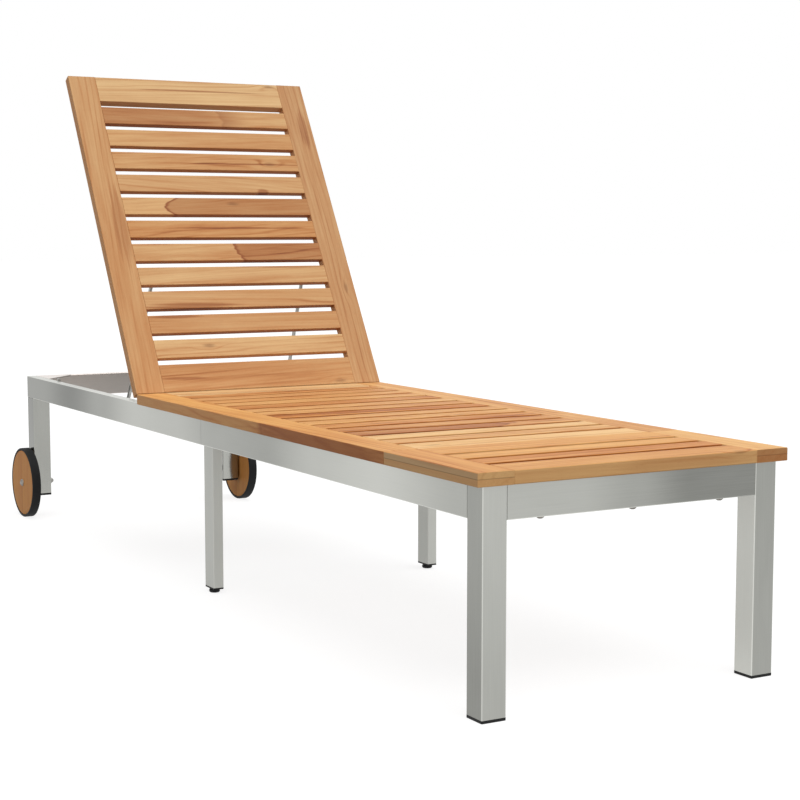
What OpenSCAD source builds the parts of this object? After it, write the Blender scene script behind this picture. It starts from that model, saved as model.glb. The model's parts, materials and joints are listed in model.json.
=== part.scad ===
// Reclining garden lounger: slatted hardwood panels on a stainless tube frame with two rear wheels.
// Millimetres. X across the bed, +Y towards the head, +Z up. The origin is on the ground, under the
// middle of the whole length. Pieces are drawn from the foot edge (y = 0) and shifted by at_origin().
// Backrest pieces are drawn lying flat and raised by on_back().

/* [Timber panels] */
// Width across all three panels
panel_w = 550; // [450:1:700]
// Height of the seat's top face above the ground
seat_z = 350; // [300:1:420]
// Thickness of stiles and end rails
timber_t = 20; // [16:1:28]
// Thickness of the slats, flush with the stiles on top
slat_t = 13; // [10:0.5:16]
// Width of every stile
stile_w = 60; // [50:1:75]
// Gap between slats
slat_gap = 14.3; // [8:0.1:16]
// Rounding of the long timber edges
edge_r = 1.5; // [0.5:0.1:2.5]
// Length of the foot panel
foot_len = 258; // [230:0.5:320]
// Width of the foot panel's end rails
foot_rail_w = 64; // [50:1:70]
// Number of slats in the foot panel
foot_slat_count = 2; // [1:1:3]
// Length of the seat panel
seat_len = 997; // [820:1:1200]
// Width of the seat panel's end rails
seat_rail_w = 61; // [50:1:75]
// Number of slats in the seat panel
seat_slat_count = 15; // [11:1:18]
// Length of the backrest panel
back_len = 748; // [700:1:860]
// Width of the backrest's end rails
back_rail_w = 61; // [50:1:70]
// Number of slats in the backrest
back_slat_count = 11; // [8:1:13]
// Gap between foot panel and seat panel
panel_joint = 1; // [0.5:0.1:3]
// Length of the rail tenons
tenon_len = 30; // [15:1:40]
// Length of the slat tongues
tongue_len = 16; // [8:1:25]

/* [Backrest] */
// Angle of the backrest above flat
back_angle = 60; // [50:0.1:65]
// Steepest angle the backrest can be set to
back_max = 72; // [68:1:76]
// Gap for the hinges between seat panel and backrest
hinge_gap = 5; // [4.6:0.1:8]
// Clearance under the backrest when it lies on the rails
back_clear = 0.3; // [0.2:0.1:0.6]
// Number of butt hinges
hinge_count = 3; // [2:1:4]
// Distance between the outer hinges
hinge_span = 300; // [200:5:340]
// Width of a hinge
hinge_w = 52; // [40:1:60]

/* [Frame] */
// Width of the square leg tubes
leg_w = 40; // [30:1:45]
// Thickness of the side and cross rails
rail_w = 20; // [16:1:25]
// Height of the side and cross rails
rail_h = 50; // [44:1:60]
// Wall of every tube
tube_wall = 1.5; // [1.2:0.1:2.5]
// Rounding of the tube corners
tube_r = 1.5; // [1:0.1:4]
// Overhang of the timber past the frame at the sides
side_over = 14; // [8:1:20]
// Overhang of the timber past the frame at the foot end
front_over = 9; // [4:1:15]
// Overhang of the flat backrest past the frame at the head end
rear_over = 6.5; // [2:0.5:20]
// Distance of the joint between the frame's halves from the seat panel's end
frame_joint = 285; // [260:0.5:360]
// Gap that shows at that joint
frame_joint_gap = 0.5; // [0.2:0.1:1]
// Depth of the middle legs along the lounger
mid_leg_d = 40; // [30:1:45]
// Distance of the joint behind the middle legs' front face
mid_leg_before = 6; // [2:1:15]
// Length of the sleeves inside the frame joint
sleeve_len = 170; // [120:5:200]
// Side of the corner gusset plates
gusset = 80; // [60:1:100]
// Thickness of the gusset plates
gusset_t = 3; // [2:0.5:4]

/* [Feet and wheels] */
// Height of the rear leg's end above the ground
rear_leg_z = 50; // [40:1:60]
// Thickness of the plastic caps' flanges
cap_t = 3; // [2:0.5:5]
// Depth of the caps' plugs inside the tubes
cap_plug = 22; // [15:1:30]
// Height of the adjustable glides when screwed in
glide_h = 8; // [6:0.5:12]
// Diameter of the glides
glide_d = 20; // [16:1:24]
// Diameter of the wheels
wheel_d = 162; // [140:1:190]
// Width of the wheels
wheel_w = 20; // [16:1:34]
// Thickness of the tyre around the wooden disc
tyre_t = 6; // [4:0.5:12]
// Diameter of the wheel bolts and glide studs
bolt_d = 8; // [6:0.5:10]
// Space between rear leg and wheel
wheel_space = 4; // [2:0.5:8]

/* [Prop] */
// Diameter of the prop's rod
rod_d = 8; // [6:0.5:9]
// Distance of the prop's pivot from the hinge, along the backrest
pivot_s = 277; // [250:1:300]
// Distance of the prop's pivot under the hinge line, backrest flat
pivot_drop = 26; // [22:0.5:30]
// Length of the prop's legs from pivot to foot
prop_len = 297; // [270:1:320]
// Angle of the prop's legs below level at the backrest's set angle
prop_lean = 65.9; // [60:0.1:70]
// Half width of the prop at its pivot bar
prop_half_top = 173; // [150:1:180]
// Half width of the prop at its feet
prop_half_foot = 187; // [160:1:200]
// Bend radius of the rod
rod_bend = 18; // [12:1:25]
// Thickness of the notched racks
rack_t = 6; // [4:0.5:8]
// Depth of the rack's notches
notch_d = 5; // [3:0.5:6]
// Place of the clips that hold the pivot bar, from the middle
clip_x = 120; // [80:5:140]

/* [Hidden] */
$fn = 48;

teak = [0.82, 0.60, 0.38];
teak_dark = [0.70, 0.48, 0.29];
steel = [0.72, 0.73, 0.71];
dark_steel = [0.50, 0.51, 0.51];
black = [0.09, 0.09, 0.10];
nylon = [0.85, 0.84, 0.80];

LEFT = -1;
RIGHT = 1;

// Heights
rail_top = seat_z - timber_t;
rail_low = rail_top - rail_h;

// Widths, measured from the middle
frame_x = panel_w / 2 - side_over;
rail_in_x = frame_x - rail_w;
leg_in_x = frame_x - leg_w;
stile_in_x = panel_w / 2 - stile_w;
mid_leg_in_x = rail_in_x - rail_w;

// Places along the bed
seat_y = foot_len + panel_joint;
seat_end_y = seat_y + seat_len;
hinge_y = seat_end_y + hinge_gap / 2;
back_y = seat_end_y + hinge_gap;
bed_len = back_y + back_len;
frame_front_y = front_over;
frame_rear_y = bed_len - rear_over;
front_leg_rear_y = frame_front_y + leg_w;
rear_leg_front_y = frame_rear_y - leg_w;
axle_y = frame_rear_y - leg_w / 2;
axle_z = wheel_d / 2;
overall_len = axle_y + wheel_d / 2;
frame_joint_y = seat_end_y - frame_joint;
mid_leg_y = frame_joint_y - mid_leg_before;
mid_rail_y = mid_leg_y + (mid_leg_d - rail_w) / 2;
hinge_rail_y = seat_end_y - seat_rail_w / 2 - rail_w / 2;

// Timber
joint_slack = 0.1;
foot_slat_w = (foot_len - 2 * foot_rail_w - (foot_slat_count + 1) * slat_gap) / foot_slat_count;
seat_slat_w = (seat_len - 2 * seat_rail_w - (seat_slat_count + 1) * slat_gap) / seat_slat_count;
back_slat_w = (back_len - 2 * back_rail_w - (back_slat_count + 1) * slat_gap) / back_slat_count;
back_t = timber_t - back_clear;
tenon_t = timber_t * 0.4;
tenon_shoulder = 10;
tongue_t = slat_t * 0.45;
tongue_shoulder = 5;
tongue_low_z = seat_z - slat_t / 2 - tongue_t / 2;

// Hinges: a small barrel, its top flush with the timber
barrel_r = hinge_gap / 2;
knuckle_r = barrel_r - 0.3;
hinge_z = seat_z - barrel_r;
hinge_pin_r = barrel_r / 2;
leaf_t = hinge_gap / 2 - 0.9;
leaf_low_z = rail_top + 2;
knuckle_gap = 0.4;
centre_knuckle = hinge_w * 0.36;
hinge_pitch = hinge_span / (hinge_count - 1);
hinge_xs = [for (i = [0 : hinge_count - 1]) i * hinge_pitch - hinge_span / 2];
leaf_screw_z = (leaf_low_z + hinge_z - barrel_r) / 2;

// Screws
wood_screw_r = 1.75;
wood_screw_head_r = 3.2;
wood_screw_len = 15;
machine_screw_r = 2.5;
machine_head_r = 4.5;
machine_head_h = 2.6;
panel_screw_head_r = 6.5;
panel_screw_head_h = 4.5;
panel_screw_xs = [-160, 0, 160];
panel_screw_depth = timber_t * 0.6;

// Seat brackets
bracket_w = 22;
bracket_leg = 24;
bracket_t = 2;
bracket_ys = [foot_len / 2, seat_y + 120, frame_joint_y - 220, frame_joint_y + 130];

// Frame joint
sleeve_slack = 0.1;
sleeve_wall = 2;
joint_screw_ys = [-68, -44, 54, 72];

// Prop: the legs turn by fold_ratio degrees in the backrest for each degree that it is lowered
prop_slack = 0.3;
clip_slack = 0.08;
rod_r = rod_d / 2;
fold_ratio = 1 + prop_lean / back_angle;
foot_reach = rail_in_x - 2.5;
clip_w = 20;
clip_wall = 2.5;
clip_foot = 11;
back_stops = [26, 37, 45.5, 53, back_angle, 66, back_max];
rack_low_z = rail_low + 4;
rack_front = 14;
rack_stop_t = 8;
rack_stop_z = rail_top + 5;
rack_screw_count = 4;

// Wheels
bolt_r = bolt_d / 2;
bore_slack = 0.06;
disc_r = wheel_d / 2 - tyre_t;
wheel_in_x = frame_x + wheel_space;
wheel_out_x = wheel_in_x + wheel_w;
wheel_play = 0.3;
glide_slack = 0.3;
bush_r = bolt_r + 4;
bolt_head_r = 8.5;
bolt_head_h = 4.5;
spacer_r = 9;
nut_af = 13;
nut_h = 6.5;
nut_dome_r = 5.5;

// ---------------------------------------------------------------- placing

// Shifts a piece from the foot edge to the part's origin
module at_origin() {
    translate([0, -overall_len / 2, 0])
        children();
}

// Raises a piece of the flat backrest about the hinge line
module on_back() {
    at_origin()
        translate([0, hinge_y, hinge_z])
            rotate([back_angle, 0, 0])
                translate([0, -hinge_y, -hinge_z])
                    children();
}

// Pieces are drawn for the left side and mirrored for the right
module on_side(side) {
    if (side == LEFT)
        children();
    else
        mirror([1, 0, 0])
            children();
}

module on_both_sides() {
    for (side = [LEFT, RIGHT])
        on_side(side)
            children();
}

// Turns a shape that stands on Z to lie along +X
module lay_x() {
    rotate([90, 0, 90])
        children();
}

// ---------------------------------------------------------------- shapes

// Rectangle from the origin, with rounded corners
module rounded_rect(w, h, r) {
    translate([r, 0])
        square([w - 2 * r, h]);
    translate([0, r])
        square([w, h - 2 * r]);
    for (x = [r, w - r], y = [r, h - r])
        translate([x, y])
            circle(r);
}

// Upright tube from the origin
module tube(w, d, len) {
    inner_r = max(tube_r - tube_wall, 0.4);
    difference() {
        linear_extrude(len)
            rounded_rect(w, d, tube_r);
        translate([tube_wall, tube_wall, -1])
            linear_extrude(len + 2)
                rounded_rect(w - 2 * tube_wall, d - 2 * tube_wall, inner_r);
    }
}

// Leg tube with a closed top
module leg_tube(w, d, len) {
    tube(w, d, len);
    translate([tube_wall / 2, tube_wall / 2, len - tube_wall])
        cube([w - tube_wall, d - tube_wall, tube_wall]);
}

// Board along X from x0 to x1, y from y0, top at z_top
module board_x(x0, x1, y0, w, t, z_top) {
    translate([x0, y0, z_top - t])
        lay_x()
            linear_extrude(x1 - x0)
                rounded_rect(w, t, edge_r);
}

// Board along Y from y0 to y1, x from x0, top at z_top
module board_y(x0, w, y0, y1, t, z_top) {
    translate([x0, y1, z_top - t])
        rotate([90, 0, 0])
            linear_extrude(y1 - y0)
                rounded_rect(w, t, edge_r);
}

// Cross tube between x0 and x1
module rail_x(x0, x1, y0) {
    translate([x0, y0, rail_low])
        lay_x()
            tube(rail_w, rail_h, x1 - x0);
}

// Screw with a flat head whose face is at z = 0, pointing down
module flat_screw(len, r, head_r) {
    translate([0, 0, -len])
        cylinder(h = len, r = r);
    translate([0, 0, r - head_r])
        cylinder(h = head_r - r, r1 = r, r2 = head_r);
}

// Screw with a domed head that sits on z = 0, pointing down. The head has a hexagon socket or is plain
module dome_screw(len, r, head_r, head_h, socket = true) {
    sphere_r = (head_r * head_r + head_h * head_h) / (2 * head_h);
    translate([0, 0, -len])
        cylinder(h = len, r = r);
    difference() {
        intersection() {
            translate([0, 0, head_h - sphere_r])
                sphere(sphere_r, $fn = 64);
            cylinder(h = head_h, r = head_r);
        }
        if (socket)
            translate([0, 0, head_h * 0.35])
                cylinder(h = head_h, r = head_r * 0.5, $fn = 6);
    }
}

// Rod along a flat path, with a round bend at each inner point. The bends' circles are turned so that
// their seam meets the seam of the straight rods
module bent_rod(path, r, bend) {
    last = len(path) - 1;
    unit = [for (i = [0 : last - 1]) (path[i + 1] - path[i]) / norm(path[i + 1] - path[i])];
    heading = [for (u = unit) atan2(u.y, u.x)];
    turn = [for (i = [1 : last - 1]) heading[i] - heading[i - 1]];
    trim = [for (a = turn) bend * tan(abs(a) / 2)];
    for (i = [0 : last - 1]) {
        cut_start = i == 0 ? 0 : trim[i - 1];
        cut_end = i == last - 1 ? 0 : trim[i];
        start = path[i] + unit[i] * cut_start;
        translate([start.x, start.y, 0])
            rotate([0, 90, heading[i]])
                cylinder(h = norm(path[i + 1] - path[i]) - cut_start - cut_end, r = r);
    }
    for (i = [1 : last - 1]) {
        hand = sign(turn[i - 1]);
        start = path[i] - unit[i - 1] * trim[i - 1];
        centre = start + hand * bend * [-unit[i - 1].y, unit[i - 1].x];
        first = hand > 0 ? heading[i - 1] - 90 : heading[i] + 90;
        translate([centre.x, centre.y, 0])
            rotate([0, 0, first])
                rotate_extrude(angle = abs(turn[i - 1]))
                    translate([bend, 0])
                        rotate(-90)
                            circle(r);
    }
}

// ---------------------------------------------------------------- timber

function slat_y(y0, rail_w, slat_w, i) = y0 + rail_w + slat_gap + i * (slat_w + slat_gap);

// One side stile with its mortises
module stile(side, y0, len, end_w, slat_w, count, t) {
    middle_z = seat_z - timber_t / 2;
    slat_mid_z = seat_z - slat_t / 2;
    on_side(side)
        difference() {
            board_y(-panel_w / 2, stile_w, y0, y0 + len, t, seat_z);
            for (y = [y0, y0 + len - end_w])
                translate([-stile_in_x - tenon_len - 1, y + tenon_shoulder - joint_slack,
                           middle_z - tenon_t / 2 - joint_slack])
                    cube([tenon_len + 2, end_w - 2 * (tenon_shoulder - joint_slack),
                          tenon_t + 2 * joint_slack]);
            for (i = [0 : count - 1])
                translate([-stile_in_x - tongue_len - 1,
                           slat_y(y0, end_w, slat_w, i) + tongue_shoulder - joint_slack,
                           slat_mid_z - tongue_t / 2 - joint_slack])
                    cube([tongue_len + 2, slat_w - 2 * (tongue_shoulder - joint_slack),
                          tongue_t + 2 * joint_slack]);
        }
}

// End rail between the stiles, with a tenon at each end
module end_rail(y0, w, t) {
    board_x(-stile_in_x, stile_in_x, y0, w, t, seat_z);
    translate([-stile_in_x - tenon_len, y0 + tenon_shoulder, seat_z - timber_t / 2 - tenon_t / 2])
        cube([2 * (stile_in_x + tenon_len), w - 2 * tenon_shoulder, tenon_t]);
}

// Bank of slats, each with a tongue at both ends
module slat_bank(y0, end_w, slat_w, count) {
    for (i = [0 : count - 1]) {
        y = slat_y(y0, end_w, slat_w, i);
        board_x(-stile_in_x, stile_in_x, y, slat_w, slat_t, seat_z);
        translate([-stile_in_x - tongue_len, y + tongue_shoulder, seat_z - slat_t / 2 - tongue_t / 2])
            cube([2 * (stile_in_x + tongue_len), slat_w - 2 * tongue_shoulder, tongue_t]);
    }
}

module foot_stile(side) {
    color(teak)
        at_origin()
            difference() {
                stile(side, 0, foot_len, foot_rail_w, foot_slat_w, foot_slat_count, timber_t);
                bracket_screw_set(0);
            }
}

module foot_front_rail() {
    color(teak)
        at_origin()
            difference() {
                end_rail(0, foot_rail_w, timber_t);
                panel_screw_row(frame_front_y + rail_w / 2);
            }
}

module foot_rear_rail() {
    color(teak)
        at_origin()
            end_rail(foot_len - foot_rail_w, foot_rail_w, timber_t);
}

module foot_slats() {
    color(teak)
        at_origin()
            slat_bank(0, foot_rail_w, foot_slat_w, foot_slat_count);
}

module seat_stile(side) {
    color(teak)
        at_origin()
            difference() {
                stile(side, seat_y, seat_len, seat_rail_w, seat_slat_w, seat_slat_count, timber_t);
                for (i = [1 : len(bracket_ys) - 1])
                    bracket_screw_set(i);
            }
}

module seat_front_rail() {
    color(teak)
        at_origin()
            end_rail(seat_y, seat_rail_w, timber_t);
}

module seat_rear_rail() {
    color(teak)
        at_origin()
            difference() {
                end_rail(seat_end_y - seat_rail_w, seat_rail_w, timber_t);
                panel_screw_row(hinge_rail_y + rail_w / 2);
                hinge_screw_set(LEFT);
            }
}

module seat_slats() {
    color(teak)
        at_origin()
            slat_bank(seat_y, seat_rail_w, seat_slat_w, seat_slat_count);
}

module back_stile(side) {
    color(teak)
        on_back()
            difference() {
                stile(side, back_y, back_len, back_rail_w, back_slat_w, back_slat_count, back_t);
                on_side(side)
                    rack_stop_pocket();
            }
}

module back_end_rail(y0) {
    end_rail(y0, back_rail_w, back_t);
}

module back_bottom_rail() {
    color(teak)
        on_back()
            difference() {
                back_end_rail(back_y);
                hinge_screw_set(RIGHT);
            }
}

module back_top_rail() {
    color(teak)
        on_back()
            back_end_rail(bed_len - back_rail_w);
}

module back_slats() {
    color(teak)
        on_back()
            difference() {
                slat_bank(back_y, back_rail_w, back_slat_w, back_slat_count);
                clip_screw_set();
            }
}

// ---------------------------------------------------------------- frame

module front_rail() {
    color(steel)
        at_origin()
            difference() {
                rail_x(-leg_in_x, leg_in_x, frame_front_y);
                panel_screw_row(frame_front_y + rail_w / 2);
            }
}

module front_leg(side) {
    color(steel)
        at_origin()
            on_side(side)
                translate([-frame_x, frame_front_y, cap_t])
                    leg_tube(leg_w, leg_w, rail_top - cap_t);
}

// Side rail from y0 to y1, with a plate in its rear end if closed
module side_rail(side, y0, y1, closed = false) {
    color(steel)
        at_origin()
            on_side(side)
                difference() {
                    translate([-frame_x, y1, rail_low])
                        rotate([90, 0, 0]) {
                            tube(rail_w, rail_h, y1 - y0);
                            if (closed)
                                translate([tube_wall / 2, tube_wall / 2, 0])
                                    cube([rail_w - tube_wall, rail_h - tube_wall, tube_wall]);
                        }
                    joint_screw_set();
                    rack_screw_set();
                    for (i = [0 : len(bracket_ys) - 1])
                        bracket_side_screws(i);
                }
}

module side_rail_front(side) {
    side_rail(side, front_leg_rear_y, frame_joint_y - frame_joint_gap / 2);
}

module side_rail_rear(side) {
    side_rail(side, frame_joint_y + frame_joint_gap / 2, frame_rear_y, closed = true);
}

module mid_leg(side) {
    color(steel)
        at_origin()
            on_side(side)
                translate([-rail_in_x, mid_leg_y, glide_h + cap_t])
                    leg_tube(rail_w, mid_leg_d, rail_top - glide_h - cap_t);
}

module mid_rail() {
    color(steel)
        at_origin()
            rail_x(-mid_leg_in_x, mid_leg_in_x, mid_rail_y);
}

module hinge_rail() {
    color(steel)
        at_origin()
            difference() {
                rail_x(-rail_in_x, rail_in_x, hinge_rail_y);
                panel_screw_row(hinge_rail_y + rail_w / 2);
            }
}

// Rear leg, under the corner of the side rail and the rear rail
module rear_leg(side) {
    color(steel)
        at_origin()
            on_side(side)
                difference() {
                    translate([-frame_x, rear_leg_front_y, rear_leg_z + cap_t])
                        leg_tube(leg_w, leg_w, rail_low - rear_leg_z - cap_t);
                    translate([-frame_x - 1, axle_y, axle_z])
                        lay_x()
                            cylinder(h = leg_w + 2, r = bolt_r + bore_slack);
                }
}

module rear_rail() {
    color(steel)
        at_origin()
            rail_x(-rail_in_x, rail_in_x, frame_rear_y - rail_w);
}

// Triangular plate in each rear corner
module corner_gussets() {
    color(steel)
        at_origin()
            on_both_sides()
                translate([-rail_in_x, frame_rear_y - rail_w, rail_top - gusset_t])
                    linear_extrude(gusset_t)
                        polygon([[0, 0], [gusset, 0], [0, -gusset]]);
}

// Sleeve inside each side rail, across the frame joint
module joint_sleeves() {
    w = rail_w - 2 * (tube_wall + sleeve_slack);
    h = rail_h - 2 * (tube_wall + sleeve_slack);
    color(dark_steel)
        at_origin()
            on_both_sides()
                difference() {
                    translate([-frame_x + tube_wall + sleeve_slack, frame_joint_y + sleeve_len / 2,
                               rail_low + tube_wall + sleeve_slack])
                        rotate([90, 0, 0])
                            difference() {
                                linear_extrude(sleeve_len)
                                    rounded_rect(w, h, 1);
                                translate([sleeve_wall, sleeve_wall, -1])
                                    linear_extrude(sleeve_len + 2)
                                        square([w - 2 * sleeve_wall, h - 2 * sleeve_wall]);
                            }
                    joint_screw_set();
                }
}

// Screws from inside through the left side rail's wall into the sleeve
module joint_screw_set() {
    for (dy = joint_screw_ys)
        translate([-rail_in_x, frame_joint_y + dy, rail_low + rail_h / 2])
            rotate([0, 90, 0])
                dome_screw(tube_wall + sleeve_slack + sleeve_wall + 3, machine_screw_r,
                           machine_head_r, machine_head_h);
}

module joint_screws() {
    color(dark_steel)
        at_origin()
            on_both_sides()
                joint_screw_set();
}

// Angle brackets that hold the panels to the side rails
module seat_brackets() {
    color(dark_steel)
        at_origin()
            on_both_sides()
                for (i = [0 : len(bracket_ys) - 1])
                    difference() {
                        translate([-rail_in_x, bracket_ys[i] - bracket_w / 2, rail_top - bracket_leg])
                            union() {
                                cube([bracket_t, bracket_w, bracket_leg]);
                                translate([0, 0, bracket_leg - bracket_t])
                                    cube([bracket_leg, bracket_w, bracket_t]);
                            }
                        bracket_up_screw(i);
                        bracket_side_screws(i);
                    }
}

// Screw up into a stile, ending just under the slats' tongues
module bracket_up_screw(i) {
    low_z = rail_top - bracket_t;
    translate([-rail_in_x + bracket_leg * 0.55, bracket_ys[i], low_z])
        rotate([180, 0, 0])
            flat_screw(tongue_low_z - low_z - 0.5, wood_screw_r, wood_screw_head_r);
}

module bracket_side_screws(i) {
    translate([-rail_in_x + bracket_t, bracket_ys[i], rail_top - bracket_leg * 0.62])
        rotate([0, 90, 0])
            dome_screw(bracket_t + tube_wall + 5, machine_screw_r, machine_head_r, machine_head_h);
}

// Upward screws of one pair of brackets
module bracket_screw_set(i) {
    on_both_sides()
        bracket_up_screw(i);
}

module bracket_screws() {
    color(dark_steel)
        at_origin()
            on_both_sides()
                for (i = [0 : len(bracket_ys) - 1])
                    bracket_side_screws(i);
}

// Long screws from under a cross rail into the panel above it
module panel_screw_row(y) {
    for (x = panel_screw_xs)
        translate([x, y, rail_low])
            rotate([180, 0, 0])
                dome_screw(rail_h + panel_screw_depth, machine_screw_r, panel_screw_head_r,
                           panel_screw_head_h);
}

module panel_screws() {
    color(dark_steel)
        at_origin() {
            panel_screw_row(frame_front_y + rail_w / 2);
            panel_screw_row(hinge_rail_y + rail_w / 2);
        }
}

// ---------------------------------------------------------------- feet

// Cap with a flange under the tube and a plug inside it
module leg_cap(w, d, z) {
    inset = tube_wall + 0.1;
    translate([0, 0, z])
        linear_extrude(cap_t)
            rounded_rect(w, d, tube_r);
    translate([inset, inset, z + cap_t - 0.5])
        linear_extrude(cap_plug)
            rounded_rect(w - 2 * inset, d - 2 * inset, 1);
}

module front_leg_caps() {
    color(black)
        at_origin()
            on_both_sides()
                translate([-frame_x, frame_front_y, 0])
                    leg_cap(leg_w, leg_w, 0);
}

module mid_leg_caps() {
    color(black)
        at_origin()
            on_both_sides()
                difference() {
                    translate([-rail_in_x, mid_leg_y, 0])
                        leg_cap(rail_w, mid_leg_d, glide_h);
                    glide_stud(bore_slack);
                }
}

module rear_leg_caps() {
    color(black)
        at_origin()
            on_both_sides()
                translate([-frame_x, rear_leg_front_y, 0])
                    leg_cap(leg_w, leg_w, rear_leg_z);
}

// Stud of the glide, or with slack the slightly deeper hole for it
module glide_stud(slack) {
    translate([-rail_in_x + rail_w / 2, mid_leg_y + mid_leg_d / 2, glide_h / 2])
        cylinder(h = glide_h / 2 + cap_t + cap_plug - 5 + 6 * slack, r = bolt_r - 1 + slack);
}

// Screw foot in the middle leg: round pad, neck and stud
module glide(side) {
    color(black)
        at_origin()
            on_side(side) {
                translate([-rail_in_x + rail_w / 2, mid_leg_y + mid_leg_d / 2, 0]) {
                    cylinder(h = 1.5, r1 = glide_d / 2 - 1.5, r2 = glide_d / 2);
                    translate([0, 0, 1.5])
                        cylinder(h = glide_h - 4, r = glide_d / 2);
                    translate([0, 0, glide_h - 2.5])
                        cylinder(h = 2.5 - glide_slack, r = bolt_r + 2);
                }
                glide_stud(0);
            }
}

// ---------------------------------------------------------------- hinges

// Leaf on one side of the hinge line, with the knuckles it carries, around x = 0
module hinge_leaf(side) {
    outer_knuckle = (hinge_w - centre_knuckle) / 2 - knuckle_gap;
    leaf_y = side == LEFT ? hinge_y - hinge_gap / 2 : hinge_y + hinge_gap / 2 - leaf_t;
    spans = side == LEFT ? [[-hinge_w / 2, outer_knuckle], [hinge_w / 2 - outer_knuckle, outer_knuckle]]
                         : [[-centre_knuckle / 2, centre_knuckle]];
    difference() {
        union() {
            translate([-hinge_w / 2, leaf_y, leaf_low_z])
                cube([hinge_w, leaf_t, hinge_z - barrel_r - leaf_low_z - knuckle_gap / 2]);
            for (s = spans) {
                translate([s[0], hinge_y, hinge_z])
                    lay_x()
                        cylinder(h = s[1], r = knuckle_r);
                translate([s[0], leaf_y, leaf_low_z])
                    cube([s[1], leaf_t, hinge_z - leaf_low_z]);
            }
        }
        translate([-hinge_w / 2 - 1, hinge_y, hinge_z])
            lay_x()
                cylinder(h = hinge_w + 2, r = hinge_pin_r + bore_slack);
        leaf_screw_pair(side);
    }
}

// Two flat-headed screws through a leaf into the timber
module leaf_screw_pair(side) {
    for (x = [-hinge_w * 0.3, hinge_w * 0.3])
        translate([x, hinge_y + side * (hinge_gap / 2 - leaf_t), leaf_screw_z])
            rotate([side * 90, 0, 0])
                flat_screw(wood_screw_len, wood_screw_r, wood_screw_head_r);
}

module hinge_screw_set(side) {
    for (x = hinge_xs)
        translate([x, 0, 0])
            leaf_screw_pair(side);
}

module hinge_seat_leaves() {
    color(steel)
        at_origin()
            for (x = hinge_xs)
                translate([x, 0, 0])
                    hinge_leaf(LEFT);
}

module hinge_back_leaves() {
    color(steel)
        on_back()
            for (x = hinge_xs)
                translate([x, 0, 0])
                    hinge_leaf(RIGHT);
}

module hinge_pins() {
    color(dark_steel)
        at_origin()
            for (x = hinge_xs)
                translate([x - hinge_w / 2, hinge_y, hinge_z])
                    lay_x()
                        cylinder(h = hinge_w, r = hinge_pin_r);
}

// All wood screws of the fixed part: upward bracket screws and the seat side of the hinges
module wood_screws() {
    color(dark_steel)
        at_origin() {
            for (i = [0 : len(bracket_ys) - 1])
                bracket_screw_set(i);
            hinge_screw_set(LEFT);
        }
}

// All wood screws of the backrest: its side of the hinges and the clips
module back_screws() {
    color(dark_steel)
        on_back() {
            hinge_screw_set(RIGHT);
            clip_screw_set();
        }
}

// ---------------------------------------------------------------- prop

// Centre of the prop's foot when the backrest is raised by an angle
function prop_foot(angle) =
    [hinge_y + pivot_s * cos(angle) + pivot_drop * sin(angle) + prop_len * cos((fold_ratio - 1) * angle),
     hinge_z + pivot_s * sin(angle) - pivot_drop * cos(angle) - prop_len * sin((fold_ratio - 1) * angle)];

pivot_flat_y = hinge_y + pivot_s;
pivot_flat_z = hinge_z - pivot_drop;

// U-shaped stay: a pivot bar, two legs that spread a little, and feet turned outwards
module prop_stay() {
    color(dark_steel)
        on_back()
            translate([0, pivot_flat_y, pivot_flat_z])
                rotate([-back_angle * fold_ratio, 0, 0])
                    bent_rod([[-foot_reach, prop_len], [-prop_half_foot, prop_len], [-prop_half_top, 0],
                              [prop_half_top, 0], [prop_half_foot, prop_len], [foot_reach, prop_len]],
                             rod_r, rod_bend);
}

// Saddle clips under a backrest slat, round the pivot bar
module stay_clips() {
    slat_low_z = seat_z - slat_t;
    outer_r = rod_r + clip_slack + clip_wall;
    color(steel)
        on_back()
            for (x = [-clip_x, clip_x])
                difference() {
                    translate([x - clip_w / 2, pivot_flat_y, 0])
                        union() {
                            translate([0, 0, pivot_flat_z])
                                lay_x()
                                    cylinder(h = clip_w, r = outer_r);
                            translate([0, -outer_r, pivot_flat_z])
                                cube([clip_w, 2 * outer_r, slat_low_z - pivot_flat_z]);
                            translate([0, -outer_r - clip_foot, slat_low_z - clip_wall])
                                cube([clip_w, outer_r + clip_foot, clip_wall]);
                        }
                    translate([x - clip_w, pivot_flat_y, pivot_flat_z])
                        lay_x()
                            cylinder(h = 2 * clip_w, r = rod_r + clip_slack);
                    clip_screw_set();
                }
}

module clip_screw_set() {
    for (x = [-clip_x, clip_x])
        translate([x, pivot_flat_y - rod_r - clip_wall - clip_foot * 0.55, seat_z - slat_t - clip_wall])
            rotate([180, 0, 0])
                flat_screw(clip_wall + slat_t - 4, wood_screw_r, wood_screw_head_r);
}

// Point of the rack's top, square under the foot's path
function under_foot(angle) =
    let (way = prop_foot(angle - 0.5) - prop_foot(angle + 0.5))
        prop_foot(angle) + rack_under * [way.y, -way.x] / norm(way);

rack_under = rod_r + prop_slack;
rack_rear_y = max([for (a = [0 : 10]) prop_foot(a).x]) + rack_under;

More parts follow.
